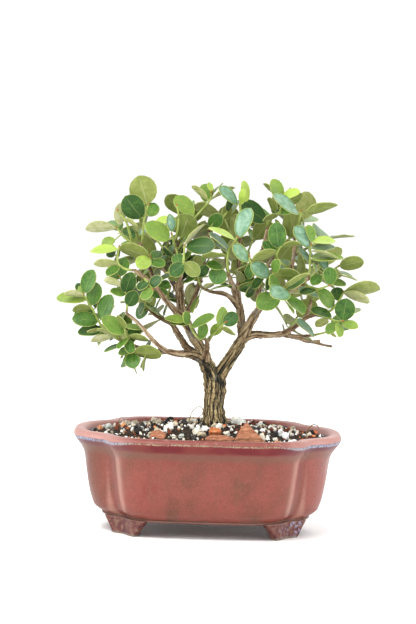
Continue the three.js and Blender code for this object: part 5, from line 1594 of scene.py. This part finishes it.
@dataclass
class Wood:
    """Trunk and branches as one fused piece with furrowed bark."""

    voxel: float = 0.55
    step: float = 1.2
    growth: float = 1.06
    # What is added to each limb's distances, so that the grain of no two is the same
    apart: float = 57.0
    # Radii at which a limb counts as young and as fully old
    young: float = 1.4
    old: float = 6.6

    def build(self, bark: Finish) -> None:
        """Makes and dresses the wood."""
        wood = threads("wood", [self.strand(name, line) for name, line in LIMB_LINES.items()], 3)
        apply(wood, "REMESH", mode="VOXEL", voxel_size=self.voxel)
        apply(wood, "SMOOTH", factor=0.5, iterations=2)
        self.carve(wood)
        settle(wood, "bark_and_branches", [bark], ("trunk_and_branches",), 75.0)

    def strand(self, name: str, line: SmoothLine) -> tuple[np.ndarray, np.ndarray]:
        """Points and radii of one limb, uneven as it grew."""
        places, radii = line.evenly(max(4, round(line.length / self.step)))
        wander = Vector((len(name) * 3.7, 0, 0))
        steps = range(len(places))
        swell = np.array([noise.noise(Vector((0, 0, step * self.step / 6)) + wander) for step in steps])
        knots = np.array([noise.noise(Vector((3, 1, step * self.step / 2.2)) + wander) for step in steps])
        return places, radii * (self.growth + 0.13 * swell + 0.26 * np.maximum(knots, 0)) + 0.1

    def samples(self) -> tuple[np.ndarray, ...]:
        """Points on the limbs' middle lines with their radii, directions, sides and distances."""
        rows = []
        for number, line in enumerate(LIMB_LINES.values()):
            count = max(4, round(line.length / 0.8))
            places, radii = line.evenly(count)
            ahead = unit(np.gradient(places, axis=0))
            side = np.cross(ahead[0], [0.3, 1, 0.1])
            sides = []
            for way in ahead:
                side = unit(side - np.dot(side, way) * way)
                sides.append(side)
            along = np.linspace(0, line.length, count + 1) + self.apart * number
            rows.append((places, radii, ahead, np.array(sides), along))
        return tuple(np.concatenate(part) for part in zip(*rows))

    def grain(self, places: np.ndarray) -> tuple[np.ndarray, np.ndarray]:
        """Each place as seen along its limb, side by side and forth, and the limb's radius there."""
        centres, radii, ahead, sides, along = self.samples()
        nearest = np.concatenate([
            (gaps(places[start:start + 4000], centres) - radii).argmin(axis=1)
            for start in range(0, len(places), 4000)
        ])
        offset = places - centres[nearest]
        third = np.cross(ahead[nearest], sides[nearest])
        first, second, forth = (
            np.einsum("ij,ij->i", offset, axis) for axis in (sides[nearest], third, ahead[nearest])
        )
        thick = radii[nearest]
        spread = thick / np.maximum(np.hypot(first, second), 0.2)
        return np.column_stack([first * spread, second * spread, along[nearest] + forth]), thick

    def furrow(self, x: float, y: float, z: float) -> float:
        """How high the bark stands at a place of its grain, 0 in a furrow or a crack and 1 on a ridge."""
        deep = noise.noise(Vector((x / 1.9, y / 1.9, z / 24.0)))
        thin = noise.noise(Vector((x / 0.95, y / 0.95, z / 13.0 + 9)))
        crack = noise.noise(Vector((x / 2.6, y / 2.6, z / 2.4 + 31)))
        ridge = min(1.0, abs(deep) * 3.2) * 0.65 + min(1.0, abs(thin) * 3.0) * 0.35
        return min(1.0, max(0.0, ridge - 0.25 * max(0.0, 0.16 - abs(crack)) / 0.16))

    def carve(self, wood: Piece) -> None:
        """Sinks furrows into the bark and notes the grain, the furrows and the age at every corner."""
        places = corners_of(wood)
        grain, thick = self.grain(places)
        age = np.clip((thick - self.young) / (self.old - self.young), 0, 1)
        height = np.array([self.furrow(x, y, z) for x, y, z in grain])
        rings = np.array([noise.noise(Vector((0, 0, z / 2.2))) for z in grain[:, 2]])
        depth = (height - 0.58) * np.minimum(0.24 * thick, 1.35) + (1 - age) * rings * 0.2 * thick
        set_corners(wood, places + corners_of(wood, "normal") * depth[:, None])
        for name, values in (("grain", grain), ("furrow", height), ("age", age)):
            give(wood, name, values)
        low = np.clip((118 - places[:, 2]) / 12, 0, 1)
        give(wood, "shaded", low * np.clip(corners_of(wood, "normal")[:, 0] * 1.6 + 0.1, 0, 1))


@dataclass
class Blade:
    """A leaf blade's frame: foot, direction, face, length and width, as the solids have it."""

    foot: np.ndarray
    along: np.ndarray
    face: np.ndarray
    length: float
    width: float
    look: Look = Look.MIDDLE

    def __post_init__(self) -> None:
        """Squares the frame."""
        self.along = unit(self.along)
        self.across = unit(np.cross(self.face, self.along))
        self.face = unit(np.cross(self.along, self.across))

    def placed(self, along: np.ndarray, across: np.ndarray, rise: np.ndarray) -> np.ndarray:
        """Points at distances along and across the blade and over it."""
        ways = ((along, self.along), (across, self.across), (rise, self.face))
        first, second, third = (np.outer(distance, way) for distance, way in ways)
        return self.foot + first + second + third

    def points(self, t: np.ndarray, side: np.ndarray, lift: np.ndarray | float = 0.0) -> np.ndarray:
        """Points of the plain blade at shares of its length and width, some way over its middle surface."""
        share = np.clip(t, 0, 1) ** 1.15
        c = side * (self.width * np.sqrt(share * (1 - share)))
        rise = BLADE_FOLD * np.abs(c) - BLADE_ARCH * self.length * t**2 + lift
        return self.placed(t * self.length, c, rise)

    def spots(self) -> np.ndarray:
        """Points spread over the blade."""
        t = np.array([0.25, 0.5, 0.75, 1.0, 0.5, 0.5, 0.8, 0.8])
        return self.points(t, np.array([0, 0, 0, 0, 0.9, -0.9, 0.9, -0.9]))

    def changed(self, share: float, axis: np.ndarray, degrees: float) -> "Blade":
        """The blade shrunk and turned about its foot."""
        return Blade(self.foot, turned(self.along, axis, degrees), turned(self.face, axis, degrees),
                     self.length * share, self.width * share, self.look)

    def as_placed(self, corners: np.ndarray) -> "Blade | None":
        """The pose that the blade has in its spray's solid: as drawn, or bent and shrunk to stand clear.

        Args:
            corners: The solid's corners.

        Returns:
            The blade in that pose, or None where the solid has no such leaf.
        """
        half = BLADE_THICKNESS / 2
        least, best = math.inf, None
        for share in (1, 0.85, 0.7):
            station = 0.8 if self.length * share < 24 else 0.87
            t = np.array([1.0, 1.0, station, station])
            for degrees in (0, 9, 18, 27, 38, 50):
                for axis in (self.across, self.along, self.face)[:3 if degrees else 1]:
                    for sign in (1, -1):
                        trial = self.changed(share, axis, sign * degrees)
                        marks = trial.points(t, np.array([0, 0, 1, -1]), np.array([half, -half, half, half]))
                        apart = gaps(marks, corners).min(axis=1).sum()
                        if apart < least - 1e-6:
                            least, best = apart, trial
        return best if least < 0.5 else None


def shown_blade(row: tuple) -> Blade:
    """The blade of a leaf as the front view shows it: one that looks too slim is rolled, not narrow, and one
    that looks too short points more toward or away from the viewer.

    Args:
        row: A leaf of the table.

    Returns:
        The blade.
    """
    foot, tip = leaned([row[:3], row[3:6]])
    shown_width, look = row[6], LOOKS[row[7]]
    reach = tip - foot
    if np.linalg.norm(reach) < LEAST_LEAF_LENGTH:
        depth = math.sqrt(LEAST_LEAF_LENGTH**2 - reach[0] ** 2 - reach[2] ** 2)
        reach[1] = depth if reach[1] > 0 else -depth
    length = float(np.linalg.norm(reach))
    along = reach / length
    width = max(shown_width, LEAST_WIDTH_SHARE * length)
    roll = math.degrees(math.acos(min(1, shown_width / width)))
    flat = unit(TO_VIEWER - np.dot(TO_VIEWER, along) * along)
    under = look.shows_underside
    choices = (turned(flat, along, roll), turned(flat, along, -roll))
    shown = min(choices, key=lambda way: way[2] if under else -way[2])
    return Blade(foot, along, -shown if under else shown, length, width, look)


def leaning(ahead: np.ndarray, aside: np.ndarray, degrees: float) -> np.ndarray:
    """The direction of a leaf that leans some degrees from the shoot's direction."""
    angle = math.radians(degrees)
    return unit(ahead * math.cos(angle) + aside * math.sin(angle))


def outward_from(place: np.ndarray, y: float = 0.0, rise: float = 0.0) -> np.ndarray:
    """The direction away from the trunk, or from a point before or behind it."""
    return unit(np.array([place[0] - TRUNK_X, place[1] - y, rise]))


def paired_blades(line: SmoothLine, t: float, spin: float, size: float, lean: float,
                  look: Look) -> list[Blade]:
    """The blades of a pair by rule: they lean out from the shoot and face up and away from the tree.

    Args:
        line: The shoot's middle line.
        t: Share of the shoot.
        spin: Turn about the shoot in degrees.
        size: Length of the blades.
        lean: Degrees between a blade and the shoot.
        look: Their look.

    Returns:
        Two blades.
    """
    place, ahead = line.at(t)[0], line.ahead(t)[0]
    level = unit(np.cross(ahead, UP))
    light = outward_from(place) * 0.6 + UP * 0.8
    pair = []
    for half in (0, 180):
        along = leaning(ahead, turned(level, ahead, spin + half), lean)
        face = light - np.dot(light, along) * along
        pair.append(Blade(place + along * STALK_LENGTH, along, face, size, size * 0.76, look))
    return pair


def small_blade(line: SmoothLine, t: float, draw: Draws) -> Blade:
    """One of the smaller leaves that fill the crown between the large ones.

    Args:
        line: The shoot's middle line.
        t: Share of the shoot.
        draw: Draws for its place, size and look.

    Returns:
        The blade.
    """
    place, ahead = line.at(t)[0], line.ahead(t)[0]
    aside = turned(unit(np.cross(ahead, NEARLY_UP)), ahead, draw.next() * 360)
    along = leaning(ahead, aside, 35 + 45 * draw.next())
    share = 0.25 + 0.7 * draw.next()
    tilt = np.array([draw.offset() for _ in range(3)])
    light = outward_from(place, 12.0, 0.001) * share + UP * (1.15 - share) + tilt * 0.9
    face = light - np.dot(light, along) * along
    size = 11.5 + 7.5 * draw.next()
    look = draw.one_of(SMALL_LOOKS)
    foot = place + along * (STALK_LENGTH + 5.5 * draw.next() ** 2)
    return Blade(foot, along, face, size, size * (0.66 + 0.16 * draw.next()), look)


def tip_blade(line: SmoothLine, spin: float, draw: Draws) -> Blade:
    """A young leaf of the pair at the tip of a shoot, nearly upright beside the bud."""
    place, ahead = line.at(0.99)[0], line.ahead(0.98)[0]
    aside = turned(unit(np.cross(ahead, NEARLY_UP)), ahead, spin)
    along = leaning(ahead, aside, 22 + 26 * draw.next())
    size = 6 + 4.5 * draw.next()
    return Blade(place + along * 1.2, along, ahead - aside * 0.3, size, size * 0.62, draw.one_of(TIP_LOOKS))


def clear_start(line: SmoothLine) -> float:
    """Share of a shoot at which its solid first stands clear of the wood."""
    for step in range(401):
        t = step / 400
        away = line.at(t)[0] - WOOD_BEADS
        far = np.linalg.norm(away, axis=1)
        slant = np.sin(np.arccos(np.clip(away @ line.ahead(t)[0] / np.maximum(far, 1e-9), -1, 1)))
        if (far - 0.9 * WOOD_RADII - SHOOT_BASE_RADIUS * slant).min() > GAP:
            return t
    return 1.0


class Leaf:
    """The master leaf: a plate of a few dozen faces that is copied and bent for every leaf."""

    def __init__(self, finishes: list[Finish], across: int = 4, along: int = 8) -> None:
        """Models the plate flat, two wide and two long, with the face's and the back's finish."""
        plate = added(bpy.ops.mesh.primitive_grid_add, x_subdivisions=across, y_subdivisions=along, size=2)
        for finish in finishes:
            plate.data.materials.append(finish)
        for end in (-1, 1):
            with_corners(plate, corners_of(plate)[:, 1] * end > 0.999, bpy.ops.mesh.merge, type="CENTER")
        apply(plate, "SOLIDIFY", thickness=2, offset=0, material_offset=1)
        self.plate = plate
        self.side, y, z = corners_of(plate).T
        self.t = 0.5 - 0.5 * np.cos(math.pi * (y + 1) / 2)
        self.layer = np.sign(z)

    def copy(self, blade: Blade, draw: Draws) -> Piece:
        """A copy of the plate, bent and spread to a blade, with its own curl.

        Args:
            blade: The blade.
            draw: Draws for what differs from leaf to leaf.

        Returns:
            The leaf.
        """
        leaf = self.plate.copy()
        leaf.data = self.plate.data.copy()
        bpy.context.collection.objects.link(leaf)
        t = self.t
        out = np.abs(self.side)
        share = t ** (1.0 + 0.3 * draw.next())
        half = blade.width * np.sqrt(np.clip(share * (1 - share), 0, None)) * (1.0 + 0.02 * draw.next())
        c = -self.side * half
        cup = BLADE_FOLD * (np.sqrt(c**2 + 1.2) - math.sqrt(1.2)) * (0.75 + 0.6 * draw.next())
        wave = np.sin(t * (5 + 4 * draw.next()) + 6 * draw.next()) * out**2
        ripple = wave * np.sign(self.side) * 0.028 * blade.width * (0.3 + draw.next())
        arch = BLADE_ARCH * (0.8 + 0.5 * draw.next())
        thickness = BLADE_THICKNESS * (0.5 - 0.16 * out**3)
        rise = cup + ripple - arch * blade.length * t**2 + self.layer * thickness
        swing = draw.offset(0.09) * blade.length * t * (1 - t)
        tip = np.where(t > 0.999, 0.35, 0.0)
        set_corners(leaf, blade.placed(t * blade.length + tip, c + swing, rise))
        give(leaf, "rim", half * (1 - out) * np.where((t < 0.001) | (t > 0.999), 0, 1))
        look = blade.look
        give(leaf, "tone", look.tone + draw.offset(0.28))
        give(leaf, "painted_sheen", max(0.0, look.painted_sheen + draw.offset(0.2)))
        give(leaf, "pale", min(1.0, max(0.0, look.pale + draw.offset(0.4))))
        layer = leaf.data.uv_layers.new(name="blade")
        numbers = np.empty(len(leaf.data.loops), dtype=np.int32)
        leaf.data.loops.foreach_get("vertex_index", numbers)
        layer.data.foreach_set("uv", np.column_stack([(self.side + 1) / 2, t])[numbers].ravel())
        return leaf

    def drop(self) -> None:
        """Removes the master."""
        bpy.data.objects.remove(self.plate)


@dataclass
class Room:
    """The room that the blades take, as points on each."""

    marks: np.ndarray = field(default_factory=lambda: np.empty((0, 3)))
    large: np.ndarray = field(default_factory=lambda: np.empty((0, 3)))
    # As the viewer sees it, how far a small leaf may reach past the large ones, and how near it may pass
    # before one of their points
    reach: float = 7.5
    cover: float = 3.4
    wood_gap: float = 0.8
    # The furthest a leaf may reach to a side, to the front or back, and up
    widest: float = 119.0
    deepest: float = 78.0
    top: float = 264.0

    def take(self, blade: Blade) -> None:
        """Notes a blade."""
        self.marks = np.vstack([self.marks, blade.spots()])

    def close_large(self) -> None:
        """Counts all blades so far as large ones."""
        self.large = self.marks

    def suits_the_view(self, blade: Blade) -> bool:
        """True where a small blade keeps near the large ones in the front view and hides none of them."""
        spots = blade.spots()
        shown = gaps(spots[:, ::2], self.large[:, ::2])
        before = spots[:, None, 1] < self.large[None, :, 1] - 0.5
        return bool(shown.min(axis=1).max() <= self.reach and not ((shown < self.cover) & before).any())

    def holds(self, blade: Blade, gap: float) -> bool:
        """True where a blade stands inside the tree's outline, off the wood and a gap clear of the others."""
        spots = blade.spots()
        past = np.abs(spots[:, :2]).max(axis=0) > [self.widest, self.deepest]
        if spots[:, 2].max() > self.top or past.any():
            return False
        return bool(gaps(spots, self.marks).min() > gap and from_wood(spots[1:]).min() > self.wood_gap)


@dataclass
class Spray:
    """A leafy shoot that grew as one: its stems, stalks, blades and buds."""

    name: str
    stems: tuple
    rows: tuple = ()
    pairs: int = 0
    lines: list[SmoothLine] = field(default_factory=list)
    blades: list[Blade] = field(default_factory=list)
    host: SmoothLine | None = None

    def draw_lines(self) -> None:
        """Lays the stems' middle lines and finds the limb that they grow on."""
        for points in self.stems:
            radii = np.linspace(SHOOT_BASE_RADIUS, SHOOT_TIP_RADIUS, len(points))
            self.lines.append(SmoothLine(leaned(points), radii))
        start = self.lines[0].places[0]
        self.host = min(LIMB_LINES.values(), key=lambda limb: np.linalg.norm(limb.places[-1] - start))

    def wanted(self, draw: Draws, looks: Draws) -> list[Blade]:
        """The blades before they are bent clear of their neighbours.

        Args:
            draw: The draws that the solids use, too.
            looks: Draws for the tones.

        Returns:
            The blades.
        """
        if self.rows:
            return [shown_blade(row) for row in self.rows]
        line = self.lines[0]
        start = clear_start(line)
        first_spin = draw.next() * 180
        found = []
        for pair in range(self.pairs):
            share = pair / (self.pairs - 1)
            t = start + 0.12 + (0.98 - start - 0.12) * share
            size = 19 + 6 * draw.next()
            lean = 40 if pair == self.pairs - 1 else 62
            found += paired_blades(line, t, first_spin + 90 * pair, size, lean, looks.one_of(PAIR_LOOKS))
        return found

    def settle_blades(self, draw: Draws, looks: Draws) -> None:
        """Finds the blades as they stand in the spray's solid."""
        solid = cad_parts[f"spray_{self.name}"]
        corners = corners_of(solid) / MM - np.array([*MIDDLE, 0.0])
        placed = [blade.as_placed(corners) for blade in self.wanted(draw, looks)]
        self.blades = [blade for blade in placed if blade is not None]
        if len(self.blades) < len(placed):
            log.info("spray %s: %d of %d leaves", self.name, len(self.blades), len(placed))

    def fill(self, draw: Draws, room: Room) -> None:
        """Adds smaller leaves between the large ones, and a young pair at each tip.

        Args:
            draw: Draws for their places and sizes.
            room: The room that is taken.
        """
        for line in self.lines:
            young = draw.next() * 180
            for half in (0, 180):
                self.add_leaf(tip_blade(line, young + half, draw), TIP_GAP, room)
        for line in (*self.lines, self.host):
            steps = max(2, round(line.length / FILL_STEP))
            for step in range(steps + 1):
                t = 0.1 + 0.88 * step / steps
                x, _, z = line.at(t)[0]
                if z >= FULL_CROWN + min(0.0, LEFT_SLOPE * (x - LEFT_EDGE)) or step == steps:
                    for _ in range(FILL_TRIES):
                        self.add_leaf(small_blade(line, t, draw), SMALL_GAP, room)

    def add_leaf(self, blade: Blade, gap: float, room: Room) -> None:
        """Keeps a leaf where it has room."""
        if room.holds(blade, gap) and room.suits_the_view(blade):
            room.take(blade)
            self.blades.append(blade)

    def twigs(self) -> tuple[list, list, list]:
        """Runs of the stems, the leaf stalks and the buds."""
        stems, stalks, buds = [], [], []
        for line in self.lines:
            places, radii = line.evenly(max(5, round(line.length / 2)))
            stems.append((places, radii * np.linspace(0.98, 0.78, len(radii))))
            ahead = unit(places[-1] - places[-2])
            bud = places[-1] + np.outer([-0.5, 0.4, 1.2, 2.1], ahead)
            buds.append((bud, np.array([0.7, 0.85, 0.65, 0.12])))
        dense = np.vstack([line.evenly(80)[0] for line in (*self.lines, self.host)])
        for blade in self.blades:
            root = dense[np.linalg.norm(dense - blade.foot, axis=1).argmin()]
            inside = blade.foot + blade.along * 0.09 * blade.length
            middle = (root + blade.foot) / 2 + [0, 0, 0.25]
            stalks.append(SmoothLine([root, middle, blade.foot, inside], [0.62, 0.5, 0.5, 0.3]).evenly(6))
        return stems, stalks, buds

    def build(self, leaf: Leaf, finishes: list[Finish], slot: str, draw: Draws) -> None:
        """Makes and dresses the spray.

        Args:
            leaf: The master leaf.
            finishes: Materials of the faces, the backs and the shoots.
            slot: Not used.
            draw: Draws for what differs from leaf to leaf.
        """
        stems, stalks, buds = self.twigs()
        parts = []
        for runs in (stems, stalks, buds):
            part = threads("twig", runs)
            give(part, "bud", float(runs is buds))
            near = 1 - from_wood(corners_of(part)).min(axis=1) / 5 if runs is stems else 0.0
            give(part, "woody", np.clip(near, 0, 1))
            for finish in finishes:
                part.data.materials.append(finish)
            part.data.polygons.foreach_set("material_index", np.full(len(part.data.polygons), 2))
            parts.append(part)
        parts += [leaf.copy(blade, draw) for blade in self.blades]
        settle(joined(*parts), f"leafy_{self.name}", finishes, (f"spray_{self.name}",), 50.0)


@dataclass
class Crown:
    """All leafy sprays."""

    slots: tuple[str, ...] = ("leaf_dark", "leaf_mid", "leaf_light")

    def build(self, finishes: list[Finish]) -> None:
        """Makes and dresses the sprays, with the materials of the leaves' faces and backs and the shoots."""
        sprays = [Spray(name, stems, rows=rows) for name, (stems, rows) in SHOWN_SPRAYS.items()]
        sprays += [Spray(name, (stem,), pairs=pairs) for name, (stem, pairs) in PAIRED_SPRAYS.items()]
        draw, looks, own = (Draws(SEED + step) for step in (2, 5, 6))
        room = Room()
        for spray in sprays:
            spray.draw_lines()
            spray.settle_blades(draw, looks)
            for blade in spray.blades:
                room.take(blade)
        room.close_large()
        leaf = Leaf(finishes)
        for number, spray in enumerate(sprays):
            spray.fill(own, room)
            spray.build(leaf, finishes, self.slots[number % len(self.slots)], own)
        leaf.drop()
        log.info("%d leaves", sum(len(spray.blades) for spray in sprays))


@dataclass(frozen=True)
class Lamp:
    """A soft box that faces the plant: its place, width and height in metres, and its power in watts."""

    name: str
    place: tuple[float, float, float]
    size: tuple[float, float]
    power: float

    def build(self) -> None:
        """Sets up the lamp."""
        lamp = bpy.data.lights.new(self.name, "AREA")
        lamp.shape = "RECTANGLE"
        lamp.size, lamp.size_y = self.size
        lamp.energy = self.power
        holder = bpy.data.objects.new(self.name, lamp)
        bpy.context.collection.objects.link(holder)
        holder.location = self.place
        way = Vector((0, 0, 0.15)) - Vector(self.place)
        holder.rotation_euler = way.to_track_quat("-Z", "Y").to_euler()


@dataclass
class Studio:
    """Pale floor, soft light and the camera at the photograph's viewing angle."""

    # The camera's distance and height and the point that it looks at, in millimetres, its roll in degrees,
    # and its lens
    distance: float = 2500.0
    height: float = 388.0
    aim: tuple[float, float] = (-2.4, 166.1)
    roll: float = 1.6
    lens: float = 191.3
    floor_size: float = 110.0
    sky: float = 1.06
    lamps: tuple[Lamp, ...] = (
        Lamp("key", (-0.6, -1.0, 1.9), (0.9, 0.9), 32),
        Lamp("left_strip", (-1.6, -0.35, 0.45), (0.45, 1.2), 14),
        Lamp("right_strip", (1.6, -0.45, 0.45), (0.45, 1.2), 13),
        Lamp("front_fill", (0.2, -2.3, 0.3), (1.2, 0.5), 9),
        Lamp("back", (0.2, 1.3, 1.3), (1.4, 1.4), 9),
    )

    def floor(self, paper: Finish) -> None:
        """The floor."""
        floor = added(bpy.ops.mesh.primitive_plane_add, size=self.floor_size)
        floor.name = "studio_floor"
        floor.data.materials.append(paper)

    def camera(self) -> None:
        """The camera, rolled a little as in the photograph."""
        data = bpy.data.cameras.new("camera")
        data.sensor_width = 36
        data.lens = self.lens
        data.clip_start = 0.1
        data.clip_end = 200
        camera = bpy.data.objects.new("camera", data)
        bpy.context.collection.objects.link(camera)
        shift = Vector((*MIDDLE, 0))
        place = Vector((self.aim[0], -self.distance, self.height)) + shift
        way = Vector((self.aim[0], 0, self.aim[1])) + shift - place
        camera.location = place * MM
        camera.rotation_mode = "QUATERNION"
        roll = Quaternion((0, 0, 1), math.radians(self.roll))
        camera.rotation_quaternion = way.to_track_quat("-Z", "Y") @ roll
        bpy.context.scene.camera = camera

    def build(self, paper: Finish) -> None:
        """Sets up the studio."""
        self.camera()
        self.floor(paper)
        for lamp in self.lamps:
            lamp.build()
        world = bpy.data.worlds.new("studio")
        bpy.context.scene.world = world
        world.use_nodes = True
        sky = world.node_tree.nodes["Background"]
        sky.inputs["Color"].default_value = (1, 1, 1, 1)
        sky.inputs["Strength"].default_value = self.sky
        bpy.context.scene.view_settings.view_transform = "Standard"


def main() -> None:
    """Builds the plant, its pot and the studio in order."""
    logging.basicConfig(level=logging.INFO, format="%(message)s")
    Studio().build(Paper().make())
    Pot().build(Glaze().make())
    loam = LOAM.make()
    Bed().build(loam)
    chip = WoodChip("bark_chips", "7b4a33", "a56c4f", "c08a68", 0.4).make()
    clay = WoodChip("fired_clay_stone", "8a4426", "bd6c3c", "dfa678", 1.0).make()
    for piece in CHIPS:
        piece.build(clay if piece.solid == "clay_stone" else chip)
    Litter().build(DRY.make())
    netting = NETTING.make()
    for node, finish in (("soil", loam), ("drain_screen_left", netting), ("drain_screen_right", netting)):
        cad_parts[node].material_slots[0].material = finish
    Wood().build(Bark().make())
    Crown().build([BladeFace().make(), BladeBack().make(), GreenShoot().make()])


if __name__ == "__main__":
    main()
